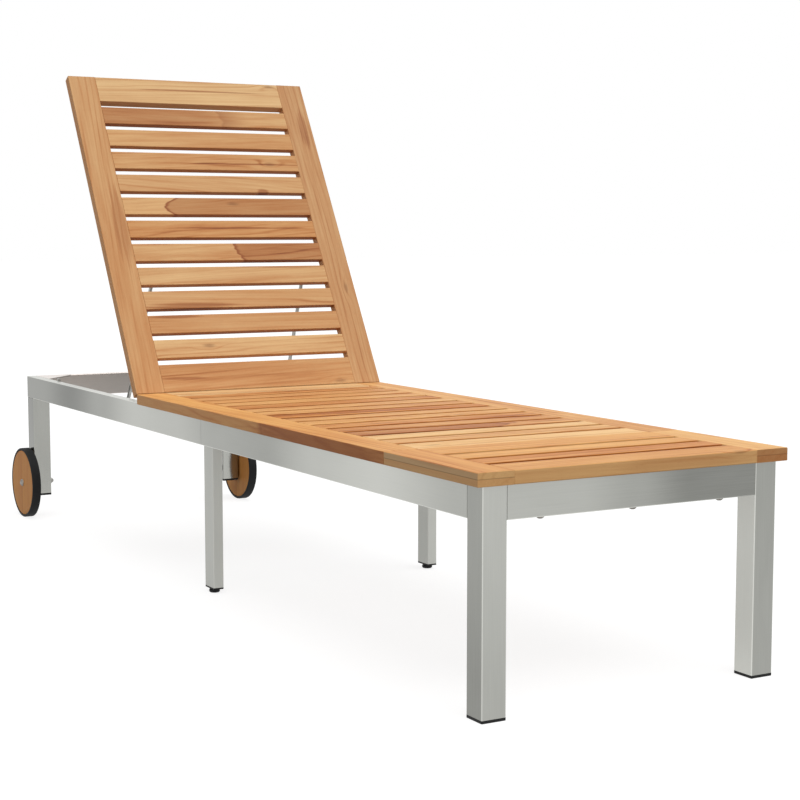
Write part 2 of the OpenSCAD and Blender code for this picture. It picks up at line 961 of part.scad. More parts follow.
// Rack inside a side rail. Its top follows the foot's path; each stop is a round notch under the path
module rack(side) {
    path = [for (a = [back_max : -1.5 : 3]) under_foot(a)];
    front_y = prop_foot(back_max).x - rack_front;
    color(dark_steel)
        at_origin()
            on_side(side)
                difference() {
                    translate([-rail_in_x, 0, 0])
                        lay_x()
                            linear_extrude(rack_t)
                                polygon(concat([[front_y, rack_low_z],
                                                [front_y, path[0].y]],
                                               path,
                                               [[rack_rear_y, rack_stop_z],
                                                [rack_rear_y + rack_stop_t, rack_stop_z],
                                                [rack_rear_y + rack_stop_t, rack_low_z]]));
                    for (a = back_stops)
                        translate([-rail_in_x - 1, prop_foot(a).x, prop_foot(a).y - notch_d])
                            lay_x()
                                cylinder(h = rack_t + 2, r = rod_r + prop_slack);
                    rack_screw_set();
                }
}

// Pocket in the backrest's stile that clears the rack's end stop when the backrest is flat
module rack_stop_pocket() {
    slack = 3;
    translate([-rail_in_x - 1, rack_rear_y - slack, rail_top - 1])
        cube([rack_t + 1 + slack, rack_stop_t + 2 * slack, rack_stop_z - rail_top + 3]);
}

module rack_screw_set() {
    rear_y = prop_foot(0).x;
    front_y = prop_foot(back_max).x;
    pitch = (rear_y - front_y) / (rack_screw_count - 0.5);
    for (i = [0 : rack_screw_count - 1])
        translate([-rail_in_x + rack_t, front_y + (i + 0.25) * pitch, rack_low_z + machine_head_r])
            rotate([0, 90, 0])
                dome_screw(rack_t + tube_wall + 3, machine_screw_r, machine_head_r - 0.5,
                           machine_head_h - 0.6);
}

module rack_screws() {
    color(dark_steel)
        at_origin()
            on_both_sides()
                rack_screw_set();
}

// ---------------------------------------------------------------- wheels

// Turned parts of a wheel, drawn round the left axle and pointing outwards from the wheel's inner face
module at_wheel(side) {
    at_origin()
        on_side(side)
            translate([-wheel_in_x, axle_y, axle_z])
                rotate([0, -90, 0])
                    children();
}

module wheel_disc(side) {
    bevel = 1.5;
    color(teak_dark)
        at_wheel(side)
            rotate_extrude($fn = 96)
                polygon([[bush_r, 0.5], [disc_r - bevel, 0.5], [disc_r, 0.5 + bevel],
                         [disc_r, wheel_w - 0.5 - bevel], [disc_r - bevel, wheel_w - 0.5],
                         [bush_r, wheel_w - 0.5]]);
}

module tyre(side) {
    round_r = 2.5;
    color(black)
        at_wheel(side)
            rotate_extrude($fn = 96) {
                translate([disc_r, 0])
                    square([tyre_t - round_r, wheel_w]);
                translate([disc_r, round_r])
                    square([tyre_t, wheel_w - 2 * round_r]);
                for (z = [round_r, wheel_w - round_r])
                    translate([wheel_d / 2 - round_r, z])
                        circle(round_r);
            }
}

module wheel_bush(side) {
    color(nylon)
        at_wheel(side)
            difference() {
                cylinder(h = wheel_w, r = bush_r);
                translate([0, 0, -1])
                    cylinder(h = wheel_w + 2, r = bolt_r + bore_slack);
            }
}

module wheel_bolts() {
    shank = wheel_w + wheel_play + wheel_space + leg_w + nut_h;
    color(steel)
        for (side = [LEFT, RIGHT])
            at_wheel(side)
                translate([0, 0, wheel_w + wheel_play])
                    dome_screw(shank, bolt_r, bolt_head_r, bolt_head_h, socket = false);
}

module wheel_spacers() {
    color(steel)
        for (side = [LEFT, RIGHT])
            at_wheel(side)
                translate([0, 0, -wheel_space])
                    difference() {
                        cylinder(h = wheel_space - wheel_play, r = spacer_r);
                        translate([0, 0, -1])
                            cylinder(h = wheel_space + 2, r = bolt_r + bore_slack);
                    }
}

// Domed nut on the leg's inner face
module acorn_nuts() {
    color(steel)
        for (side = [LEFT, RIGHT])
            at_wheel(side)
                translate([0, 0, -wheel_space - leg_w])
                    rotate([180, 0, 0])
                        difference() {
                            union() {
                                cylinder(h = nut_h, r = nut_af / 2 / cos(30), $fn = 6);
                                translate([0, 0, nut_h])
                                    intersection() {
                                        sphere(nut_dome_r, $fn = 48);
                                        cylinder(h = nut_dome_r, r = nut_dome_r);
                                    }
                            }
                            translate([0, 0, -1])
                                cylinder(h = nut_h + 1, r = bolt_r);
                        }
}

// ---------------------------------------------------------------- nodes

foot_stile(LEFT);  // foot_stile_left
foot_stile(RIGHT);  // foot_stile_right
foot_front_rail();
foot_rear_rail();
foot_slats();
seat_stile(LEFT);  // seat_stile_left
seat_stile(RIGHT);  // seat_stile_right
seat_front_rail();
seat_rear_rail();
seat_slats();
back_stile(LEFT);  // back_stile_left
back_stile(RIGHT);  // back_stile_right
back_top_rail();
back_bottom_rail();
back_slats();
front_rail();
front_leg(LEFT);  // front_leg_left
front_leg(RIGHT);  // front_leg_right
side_rail_front(LEFT);  // side_rail_front_left
side_rail_front(RIGHT);  // side_rail_front_right
side_rail_rear(LEFT);  // side_rail_rear_left
side_rail_rear(RIGHT);  // side_rail_rear_right
mid_leg(LEFT);  // mid_leg_left
mid_leg(RIGHT);  // mid_leg_right
mid_rail();
hinge_rail();
rear_leg(LEFT);  // rear_leg_left
rear_leg(RIGHT);  // rear_leg_right
rear_rail();
corner_gussets();
joint_sleeves();
joint_screws();
seat_brackets();
panel_screws();
bracket_screws();
front_leg_caps();
mid_leg_caps();
rear_leg_caps();
glide(LEFT);  // glide_left
glide(RIGHT);  // glide_right
hinge_seat_leaves();
hinge_back_leaves();
hinge_pins();
wood_screws();
back_screws();
prop_stay();
stay_clips();
rack(LEFT);  // rack_left
rack(RIGHT);  // rack_right
rack_screws();
wheel_disc(LEFT);  // wheel_disc_left
wheel_disc(RIGHT);  // wheel_disc_right
tyre(LEFT);  // tyre_left
tyre(RIGHT);  // tyre_right
wheel_bush(LEFT);  // wheel_bush_left
wheel_bush(RIGHT);  // wheel_bush_right
wheel_bolts();
wheel_spacers();
acorn_nuts();
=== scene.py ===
import json
import math

import bpy
import numpy as np
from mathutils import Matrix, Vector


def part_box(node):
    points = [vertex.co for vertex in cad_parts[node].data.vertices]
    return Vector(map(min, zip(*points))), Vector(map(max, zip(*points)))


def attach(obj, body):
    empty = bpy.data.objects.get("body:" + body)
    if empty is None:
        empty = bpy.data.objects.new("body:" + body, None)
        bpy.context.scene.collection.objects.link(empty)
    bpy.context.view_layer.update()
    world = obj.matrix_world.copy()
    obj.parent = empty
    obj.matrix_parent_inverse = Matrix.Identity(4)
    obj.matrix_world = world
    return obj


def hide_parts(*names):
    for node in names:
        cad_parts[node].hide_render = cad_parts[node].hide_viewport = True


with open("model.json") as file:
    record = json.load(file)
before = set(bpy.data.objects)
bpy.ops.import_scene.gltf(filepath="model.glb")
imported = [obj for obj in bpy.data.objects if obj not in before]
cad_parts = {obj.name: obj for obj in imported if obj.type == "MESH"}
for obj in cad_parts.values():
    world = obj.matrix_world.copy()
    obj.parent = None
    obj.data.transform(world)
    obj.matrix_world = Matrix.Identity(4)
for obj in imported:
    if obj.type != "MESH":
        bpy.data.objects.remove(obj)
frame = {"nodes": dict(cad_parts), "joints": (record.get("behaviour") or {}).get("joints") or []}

bl_info = {
    "name": "Garden Lounger",
    "version": (1, 0, 0),
    "blender": (4, 5, 0),
    "location": "View3D > Sidebar > Lounger",
    "description": "Teak boards, brushed steel frame and wheels of a reclining garden lounger",
    "category": "Object",
}

MM = 0.001
BACK_JOINT = next(j for j in frame["joints"] if j["name"] == "back_tilt")
SIDES = ("left", "right")
# Faces of the pocket in a backrest stile, length of the racks' end stops that it clears, and its
# room round them
POCKET_FACES = 5
STOP_LENGTH = 8 * MM
STOP_ROOM = 2 * MM
# Gap between a leg and its cap
CAP_FIT = 0.05 * MM

# Boards of each panel from its foot end, first the rail, then the slats and the other rail: tone
# from -1 dark to 1 pale, and warmth from 0 plain to 1 orange
BOARDS = {
    "foot": ((0.1, 0.9), (-0.4, 1.2), (0.4, 1.2), (0.35, 1.2)),
    "seat": ((1.1, 0.6), (0.2, 0.6), (0.85, 0.5), (0.0, 0.7), (-0.15, 0.7), (-0.3, 0.9),
             (0.47, 0.8), (0.25, 0.7), (-0.7, 1.2), (-0.05, 0.7), (0.2, 0.6), (-0.43, 0.7),
             (0.4, 0.7), (-0.15, 0.7), (-0.05, 0.5), (-0.3, 0.6), (0.35, 0.0)),
    "back": ((-0.3, 0.0), (0.33, 0.0), (-0.22, 0.0), (-0.2, 0.0), (0.08, 0.0), (-0.1, 0.1),
             (-0.25, 0.4), (0.16, 0.2), (-0.17, 0.0), (-0.2, 0.2), (-0.13, 0.2), (-0.02, 0.1),
             (0.53, 0.0)),
}
# Stiles of each panel, left and right: tone, warmth, how much darker the edges and ends are, which
# is painted shade and light on those faces besides the end grain's own colour, and how warm the
# edges are over the faces; a warmth or edge warmth under 0 mixes in a painted grey sheen
STILES = {
    "foot": ((-0.05, 1.1, -0.33, -0.55, -0.2), (0.8, 0.8, 0.5, 0.5, 0.5)),
    "seat": ((0.25, 1.0, 0.4, 0.4, 0.5), (0.23, 0.7, 0.4, 0.4, 0.5)),
    "back": ((-0.25, 0.0, 0.2, 0.2, 0.5), (-0.27, -0.08, 0.2, 0.2, 0.5)),
}
# How much darker the edges of each panel's end rails are, from its foot end, as painted shade,
# where under 0 is painted light, most of it lifting the shade of the gap at the hinge; and how
# warm they are over the faces
END_EDGES = {"foot": (-0.15, 0.0), "seat": (0.0, -1.2), "back": (-1.2, 0.9)}
RAIL_EDGE_WARMTH = 0.5
# How much darker the edges and ends of slats are, and how warm the edges are over the faces:
# a dark orange painted shade on the slats' sides in the gaps between them
SLAT_SHADES = (0.9, 0.2, 1.2)
# How strong the streaks of each panel are, those of its stiles over that, and where the draws of
# its grain start
FIGURE = {"foot": 1.3, "seat": 1.6, "back": 1.0}
STILE_FIGURE = 0.8
SEEDS = {"foot": 11, "seat": 23, "back": 37}

# Heartwood by piece: (board number, place of its nose along the board from -1 to 1, side it lies
# on, how far its middle is across the board from -1 to 1, radius of the nose in mm, softness of
# the edge in mm, faces it shows on)
HEARTS = {
    "back_slats": ((4, 0.065, 1, 1.0, 60, 2.5, "all"), (6, -0.575, 1, -0.15, 9, 2.5, "all"),
                   (10, 0.3, -1, -0.4, 40, 70, "all")),
    "seat_slats": ((2, 0.4, -1, 0.2, 12, 6, "all"),),
    "seat_stile_left": ((0, -0.07, -1, 0.0, 12, 18, "side"),),
    "foot_stile_right": ((0, -0.5, -1, 0.0, 12, 4, "end"),),
}
# Dark lenses in the grain by piece: (board number, place along the board, place across it, half
# length and half width in mm, strength)
LENSES = {
    "back_slats": ((1, -0.7, 0.9, 60, 8, 0.8), (2, -0.5, -0.7, 120, 9, 1.0),
                   (3, 0.55, 1.0, 110, 7, 0.8), (5, 0.2, 0.1, 160, 2.5, 1.0),
                   (7, 0.53, -0.9, 15, 9, 1.0), (8, 0.35, -0.2, 150, 2.5, 1.0)),
    "back_bottom_rail": ((0, -0.75, -0.05, 55, 4, 0.8),),
    "back_top_rail": ((0, 0.1, 0.15, 170, 2.5, 1.0),),
    "back_stile_left": ((0, 0.02, -0.5, 110, 16, 0.5),),
    "back_stile_right": ((0, 0.7, -0.3, 55, 13, 0.6),),
    "foot_front_rail": ((0, 0.35, -1.0, 130, 6, 0.25),),
    "seat_stile_left": ((0, -0.55, 1.0, 260, 3, 0.45),),
}
# Knots by piece: (board number, place along the board, place across it)
KNOTS = {
    "seat_slats": ((2, 0.4, 0.2), (5, 0.4, -0.6)),
    "back_slats": ((8, 0.68, -0.2), (0, -0.45, 0.2), (6, 0.16, 0.3)),
    "seat_front_rail": ((0, -0.8, -0.1),),
    "back_top_rail": ((0, 0.9, 0.8),),
    "back_bottom_rail": ((0, 0.85, -0.75),),
    "back_stile_right": ((0, -0.39, -0.3),),
    "foot_front_rail": ((0, 0.85, -0.9),),
}


# ------ settings

def linear(colour):
    """sRGB hex colour as linear red, green, blue and alpha. A colour of the settings is linear
    already."""
    if not isinstance(colour, str):
        return list(colour)
    parts = [int(colour[i:i + 2], 16) / 255 for i in (1, 3, 5)]
    return [c / 12.92 if c <= 0.04045 else ((c + 0.055) / 1.055) ** 2.4 for c in parts] + [1.0]


class TimberSettings(bpy.types.PropertyGroup):
    """Sizes and colours of the teak"""
    arris: bpy.props.FloatProperty(
        name="Arris", description="Rounding of a board's long edges",
        default=1.5 * MM, unit="LENGTH")
    end_arris: bpy.props.FloatProperty(
        name="End arris", description="Rounding where a board ends",
        default=0.5 * MM, unit="LENGTH")
    slat_gap: bpy.props.FloatProperty(
        name="Slat gap", description="Gap between two slats",
        default=14.3 * MM, unit="LENGTH")
    ring: bpy.props.FloatProperty(
        name="Growth ring", description="Spacing of the growth rings",
        default=11 * MM, unit="LENGTH")
    oil: bpy.props.FloatVectorProperty(
        name="Oil", description="Tint of the oil on the warmest boards",
        default=linear("#ffe9c6"), size=4, subtype="COLOR")
    disc_oil: bpy.props.FloatVectorProperty(
        name="Disc oil", description="Tint of the oil on the wheels' discs",
        default=linear("#ffe6b0"), size=4, subtype="COLOR")
    heartwood: bpy.props.FloatVectorProperty(
        name="Heartwood", description="Stain of the heartwood",
        default=linear("#9a5831"), size=4, subtype="COLOR")
    # A painted grey sheen, mixed in above the glue line where warm is under 0
    painted_grey_sheen: bpy.props.FloatVectorProperty(
        name="Grey sapwood", description="Stain of sapwood gone grey",
        default=linear("#9a9184"), size=4, subtype="COLOR")


class SteelSettings(bpy.types.PropertyGroup):
    """Finish and colours of the stainless tube"""
    roughness: bpy.props.FloatProperty(
        name="Roughness", description="Roughness of the brushed face",
        default=0.34, min=0.0, max=1.0, subtype="FACTOR")
    scratch: bpy.props.FloatProperty(
        name="Scratch width", description="Width of the brush marks, drawn coarse enough to show",
        default=1.1 * MM, unit="LENGTH")
    # dark and pale are the ends of the steel's painted sheen
    dark: bpy.props.FloatVectorProperty(
        name="Dark steel", description="Steel where its sheen is least",
        default=linear("#545551"), size=4, subtype="COLOR")
    pale: bpy.props.FloatVectorProperty(
        name="Pale steel", description="Steel where its sheen is strongest",
        default=linear("#d3d4ce"), size=4, subtype="COLOR")
    # The rear rail's pale end, tinted pink as a painted reflection of the timber
    behind: bpy.props.FloatVectorProperty(
        name="Steel behind", description="Pale steel of the rear rail, which mirrors the timber",
        default=linear("#e0d8d2"), size=4, subtype="COLOR")


class WheelSettings(bpy.types.PropertyGroup):
    """Rounded edges of the wheels, and the colour of the tyres"""
    shoulder: bpy.props.FloatProperty(
        name="Tyre shoulder", description="Rounding of the tyre's edges",
        default=2.2 * MM, unit="LENGTH")
    rim_arris: bpy.props.FloatProperty(
        name="Rim arris", description="Rounding of the wooden disc's edges",
        default=1.2 * MM, unit="LENGTH")
    rubber: bpy.props.FloatVectorProperty(
        name="Rubber", description="Colour of the tyres",
        default=linear("#0d0e0f"), size=4, subtype="COLOR")


class CapSettings(bpy.types.PropertyGroup):
    """Sizes and colour of the caps under the front and rear legs"""
    height: bpy.props.FloatProperty(
        name="Cap height", description="From the floor to the top of the lip",
        default=4.6 * MM, unit="LENGTH")
    seat: bpy.props.FloatProperty(
        name="Cap seat", description="From the floor to the end of the tube",
        default=3.0 * MM, unit="LENGTH")
    lip: bpy.props.FloatProperty(
        name="Cap lip", description="How far the lip stands out from the tube",
        default=0.15 * MM, unit="LENGTH")
    bevel: bpy.props.FloatProperty(
        name="Cap bevel", description="Bevel of the lower edge", default=0.5 * MM, unit="LENGTH")
    corner: bpy.props.FloatProperty(
        name="Cap corner", description="Rounding of the tube's corners",
        default=1.5 * MM, unit="LENGTH")
    plastic: bpy.props.FloatVectorProperty(
        name="Plastic", description="Colour of the plastic",
        default=linear("#090a0a"), size=4, subtype="COLOR")


class StageSettings(bpy.types.PropertyGroup):
    """Camera, light and floor"""
    camera_place: bpy.props.FloatVectorProperty(
        name="Camera place", description="Where the camera stands",
        default=(-1.4963, -2.95765, 0.67805), subtype="TRANSLATION", unit="LENGTH")
    camera_turn: bpy.props.FloatVectorProperty(
        name="Camera turn", description="The camera's turn about X, Y and Z",
        default=(math.radians(84.251), 0.0, math.radians(-29.765)), subtype="EULER",
        unit="ROTATION")
    lens: bpy.props.FloatProperty(
        name="Lens", description="Focal length in millimetres on a 36 mm sensor", default=77.154)
    key_power: bpy.props.FloatProperty(
        name="Key light", description="Strength of the large soft lamp overhead", default=2.0)
    key_spread: bpy.props.FloatProperty(
        name="Key spread", description="Angle that the lamp spans, for the shadow's softness",
        default=math.radians(60), unit="ROTATION")
    key_turn: bpy.props.FloatVectorProperty(
        name="Key turn", description="The lamp's turn about X, Y and Z from straight down",
        default=(math.radians(20), math.radians(4), 0.0), subtype="EULER", unit="ROTATION")
    floor_glow: bpy.props.FloatProperty(
        name="Floor white", description="White added to the floor as it is seen", default=0.85)
    sky: bpy.props.FloatProperty(
        name="Sky", description="Strength of the light from all round",
        default=0.36, min=0.0, subtype="FACTOR")
    white: bpy.props.FloatVectorProperty(
        name="White", description="Colour of the background and of the floor's glow",
        default=linear("#ffffff"), size=4, subtype="COLOR")
    floor: bpy.props.FloatVectorProperty(
        name="Floor", description="Colour of the floor as it is seen",
        default=linear("#8c8c8c"), size=4, subtype="COLOR")
    floor_light: bpy.props.FloatVectorProperty(
        name="Floor light", description="Colour of the floor as it lights the lounger",
        default=linear("#a2a2a0"), size=4, subtype="COLOR")


# ------ helpers

def join(tree, node, inputs):
    """Fills inputs of a node, by name or in order. A value is set, a socket is linked, and a
    node stands for its first output."""
    for key, value in inputs.items() if isinstance(inputs, dict) else enumerate(inputs):
        if isinstance(value, bpy.types.Node):
            value = value.outputs[0]
        if isinstance(value, bpy.types.NodeSocket):
            tree.links.new(value, node.inputs[key])
        else:
            node.inputs[key].default_value = value


def add(tree, kind, inputs=(), stops=(), **settings):
    """Adds a shader node with its settings and inputs. kind can end with a dot and the node's
    operation. stops are a ramp's places with a colour or a plain level."""
    kind, *operation = kind.split(".")
    made = tree.nodes.new("ShaderNode" + kind)
    if operation:
        made.operation = operation[0]
    for name, value in settings.items():
        setattr(made, name, value)
    join(tree, made, inputs)
    if stops:
        ramp = made.color_ramp
        while len(ramp.elements) < len(stops):
            ramp.elements.new(1.0)
        for element, (place, colour) in zip(ramp.elements, stops):
            element.position = place
            element.color = (colour,) * 3 + (1.0,) if isinstance(colour, float) else linear(colour)
    return made


def noise(tree, place, per_metre, detail, rough=0.5):
    """Noise round zero that has so many features in a metre along each axis."""
    scaled = add(tree, "VectorMath.MULTIPLY", [place, per_metre])
    made = add(tree, "TexNoise", {"Vector": scaled, "Scale": 1.0, "Detail": detail,
                                  "Roughness": rough})
    return add(tree, "Math.SUBTRACT", [made, 0.5])


def start_material(name):
    """New material; returns its node tree and its shader."""
    material = bpy.data.materials.new(name)
    material.use_nodes = True
    return material.node_tree, material.node_tree.nodes["Principled BSDF"]


# ------ materials

# Noises of the wood: features in a metre along and across the grain, detail and roughness. The
# rings wander and ripple, streaks are 16 and 5 mm wide, fibres 1.4 mm and pores under 1 mm
WOOD_NOISE = {
    "wander": (1.6, 9.0, 2.0, 0.5), "ripple": (4.0, 45.0, 2.0, 0.5),
    "broad": (1.3, 60.0, 2.0, 0.5), "narrow": (2.2, 210.0, 2.0, 0.5),
    "cloud": (4.0, 20.0, 3.0, 0.5), "fibre": (22.0, 700.0, 3.0, 0.65),
    "speck": (85.0, 1300.0, 1.0, 0.5), "strong": (1.5, 30.0, 1.0, 0.5),
    "ragged": (12.0, 90.0, 2.0, 0.5),
}
# How much each part of the figure, and then each part of the whole, lightens the wood
FIGURE_WEIGHTS = {"broad": 0.34, "narrow": 0.34, "cloud": 0.4, "ring": -0.26}
WOOD_WEIGHTS = {"tone": 0.3, "fibre": 0.16, "pore": -0.05, "lower": -0.1, "in_heart": -0.13,
                "in_lens": -0.2}
WOOD_MIDDLE = 0.57
WOOD_RAMP = ((0.0, "#7e4b2b"), (0.2, "#b37444"), (0.4, "#cf945f"), (0.58, "#deae79"),
             (0.78, "#eec68f"), (1.0, "#f8d7a5"))
# The lower layer of a laminated board comes from another place in the log
LAYER_STEP = (0.31, 0.019, 0.027)
# How far the slow and the quick noise bend a ring, in metres, and a knot, over their spacing
RING_BENDS = {"wander": 0.035, "ripple": 0.014, "knot": 0.9}
# A ring's dark line is narrow, so its wave is raised to a power. Its strength is a noise times
# the first number plus the second
RING_POWER = 6.0
RING_STRENGTH = (3.0, 0.4)
# Levels of the speck noise at which a pore starts and is whole
PORE = (0.12, 0.22)
# A knot is drawn out along the grain
KNOT_SHAPE = (0.35, 1.0, 1.0)
# How ragged the edges of heartwood, lenses and knots are
RAGGED = {"heart": 20 * MM, "lens": 1.2, "knot": 6 * MM}
# Where each starts to fade and where it ends, in metres or in half sizes of the lens, and its
# strength before and after. The glue line is 0.3 mm thin, but drawn wider so that it shows
KNOT_PUSH = (0.0, 18 * MM, 1.0, 0.0)
KNOT_EDGE = (1 * MM, 7 * MM, 1.0, 0.0)
LENS_EDGE = (0.5, 1.1, 1.0, 0.0)
HEART_RIM = (2 * MM, 11 * MM, 0.65, 0.0)
GLUE_LINE = (0.3 * MM, 0.9 * MM, 0.45, 0.0)
# How much of its stain each shows, and the stains of lenses, knots and sawn ends
STAINED = {"heart": 0.32, "lens": 0.4, "knot": 0.4, "end": 0.06}
LENS_BROWN, KNOT_BROWN, END_BROWN = "#8f5030", "#6b3a20", "#6b3f20"
# How much the fibres change the roughness, and its middle; how far the fibres stand out over the
# pores' depth, and that depth
SATIN = (0.2, 0.55)
FIBRE_HEIGHT = 0.6
PORE_DEPTH = 0.3 * MM
EASED = {"interpolation_type": "SMOOTHSTEP"}


def teak(name, timber, oil):
    """Oiled plantation teak, planed. Honey brown with thin darker growth rings that run round a
    pith beside each board, fine dark pores along the grain, reddish heartwood with a dark rim,
    and a satin sheen. oil is the tint of the warmest boards. Its attributes: "grain", place in
    the log in metres, x along it; "tone" lightens a board, and on edges and ends carries painted
    light and shade too; "warm" makes it more orange, and under 0 mixes in a painted grey sheen
    above the glue line; "figure", strength of its streaks; "heart", way past the heartwood's
    nose, way from its middle line over the root of the nose's width, and softness of its edge;
    "lens", way from a dark lens over its half sizes, and its strength; "knot", way from a knot;
    "glue", height over the glue line; "end", 1 on sawn ends."""
    tree, shader = start_material(name)
    tone, warm, strength, glue, end = (
        add(tree, "Attribute", attribute_name=key).outputs["Fac"]
        for key in ("tone", "warm", "figure", "glue", "end"))
    place, heart, lens, knot = (add(tree, "Attribute", attribute_name=key).outputs["Vector"]
                                for key in ("grain", "heart", "lens", "knot"))
    lower = add(tree, "Math.LESS_THAN", [glue, 0.0])
    step = add(tree, "VectorMath.SCALE", {0: LAYER_STEP, "Scale": lower})
    grain = add(tree, "VectorMath.ADD", [place, step])
    noises = {kind: noise(tree, grain, (along, across, across), detail, rough)
              for kind, (along, across, detail, rough) in WOOD_NOISE.items()}
    narrow, fibre = noises["narrow"], noises["fibre"]

    def length(vector, stretch):
        """Length of a vector whose parts are first multiplied by the three factors."""
        scaled = add(tree, "VectorMath.MULTIPLY", [vector, stretch])
        return add(tree, "VectorMath.LENGTH", [scaled]).outputs["Value"]

    def weigh(start, parts, weights):
        """The start plus each weighted part."""
        for key, weight in weights.items():
            start = add(tree, "Math.MULTIPLY_ADD", [parts[key], weight, start])
        return start

    # Rings: distance from the pith, bent by a slow wander and pushed aside by a knot
    knot_way = length(knot, KNOT_SHAPE)
    bends = {**RING_BENDS, "knot": RING_BENDS["knot"] * timber.ring}
    push = add(tree, "MapRange", [knot_way, *KNOT_PUSH], **EASED)
    radius = weigh(length(grain, (0.0, 1.0, 1.0)), {**noises, "knot": push}, bends)
    turn = add(tree, "Math.MULTIPLY", [radius, 2 * math.pi / timber.ring])
    wave = add(tree, "Math.SINE", [turn])
    half = add(tree, "Math.MULTIPLY_ADD", [wave, 0.5, 0.5])
    ring = add(tree, "Math.POWER", [half, RING_POWER])
    strong = add(tree, "Math.MULTIPLY_ADD", [noises["strong"], *RING_STRENGTH], use_clamp=True)
    ring = add(tree, "Math.MULTIPLY", [ring, strong])

    # Lightness of the plain wood at each point
    pore = add(tree, "MapRange", [noises["speck"], *PORE], **EASED)
    figure = weigh(0.0, {**noises, "ring": ring}, FIGURE_WEIGHTS)
    level = add(tree, "Math.MULTIPLY_ADD", [figure, strength, WOOD_MIDDLE])

    # Heartwood: the way past a rounded nose with a ragged edge, and a dark rim inside
    ahead, aside, soft = add(tree, "SeparateXYZ", [heart]).outputs
    curve = add(tree, "Math.MULTIPLY", [aside, aside])
    nose = add(tree, "Math.SUBTRACT", [ahead, curve])
    deep = add(tree, "Math.MULTIPLY_ADD", [noises["ragged"], RAGGED["heart"], nose])
    past = add(tree, "Math.DIVIDE", [deep, soft])
    in_heart = add(tree, "MapRange", [past, -1.0, 1.0], **EASED)
    near_edge = add(tree, "MapRange", [deep, *HEART_RIM], **EASED)
    rim = add(tree, "Math.MULTIPLY", [in_heart, near_edge])

    # Lenses and knots, with streaky edges; a lens's third number is its strength
    lens_way = length(lens, (1.0, 1.0, 0.0))
    lens_way = add(tree, "Math.MULTIPLY_ADD", [narrow, RAGGED["lens"], lens_way])
    inside = add(tree, "MapRange", [lens_way, *LENS_EDGE], **EASED)
    in_lens = add(tree, "Math.MULTIPLY", [inside, add(tree, "SeparateXYZ", [lens]).outputs[2]])
    knot_way = add(tree, "Math.MULTIPLY_ADD", [fibre, RAGGED["knot"], knot_way])
    in_knot = add(tree, "MapRange", [knot_way, *KNOT_EDGE], **EASED)

    level = weigh(level, {"tone": tone, "fibre": fibre, "pore": pore, "lower": lower,
                          "in_heart": in_heart, "in_lens": in_lens}, WOOD_WEIGHTS)
    colour = add(tree, "ValToRGB", [level], stops=WOOD_RAMP)

    # Colours over it, each with how much of it shows: a painted grey sheen above the glue line,
    # the oil, heartwood, lenses, knots, and the glue line and sawn ends
    upper = add(tree, "Math.SUBTRACT", [lower, 1.0])
    from_glue = add(tree, "Math.ABSOLUTE", [glue])
    line = add(tree, "MapRange", [from_glue, *GLUE_LINE], **EASED)
    sawn = add(tree, "Math.MULTIPLY", [end, STAINED["end"]])
    for amount, shade, blend in (
            (add(tree, "Math.MULTIPLY", [warm, upper]), timber.painted_grey_sheen, "MIX"),
            (warm, oil, "MULTIPLY"),
            (add(tree, "Math.MULTIPLY_ADD", [in_heart, STAINED["heart"], rim]),
             timber.heartwood, "MIX"),
            (add(tree, "Math.MULTIPLY", [in_lens, STAINED["lens"]]), LENS_BROWN, "MIX"),
            (add(tree, "Math.MULTIPLY", [in_knot, STAINED["knot"]]), KNOT_BROWN, "MIX"),
            (add(tree, "Math.MAXIMUM", [line, sawn]), END_BROWN, "MIX")):
        colour = add(tree, "Mix", {0: amount, 6: colour, 7: linear(shade)}, data_type="RGBA",
                     blend_type=blend).outputs[2]

    # The oil has dried to a satin sheen, and light picks out the cut pores between the fibres
    relief = add(tree, "Math.MULTIPLY", [fibre, FIBRE_HEIGHT])
    height = add(tree, "Math.SUBTRACT", [relief, pore])
    join(tree, shader, {
        "Base Color": colour, "Specular IOR Level": 0.2,
        "Roughness": add(tree, "Math.MULTIPLY_ADD", [fibre, *SATIN]),
        "Normal": add(tree, "Bump", {"Height": height, "Strength": 0.3,
                                     "Distance": PORE_DEPTH})})


# Brush lines run as far as a belt's grit keeps its track, and the clouds are as wide as its slack
LINE_LENGTH = 90 * MM
CLOUD_WIDTH = 30 * MM
# How much the clouds and lines lighten the steel, how much rougher the lines make it, and their
# depth
CLOUD_TONE = 0.05
LINE_TONE = 0.12
LINE_ROUGHNESS = 0.16
LINE_DEPTH = 0.05 * MM


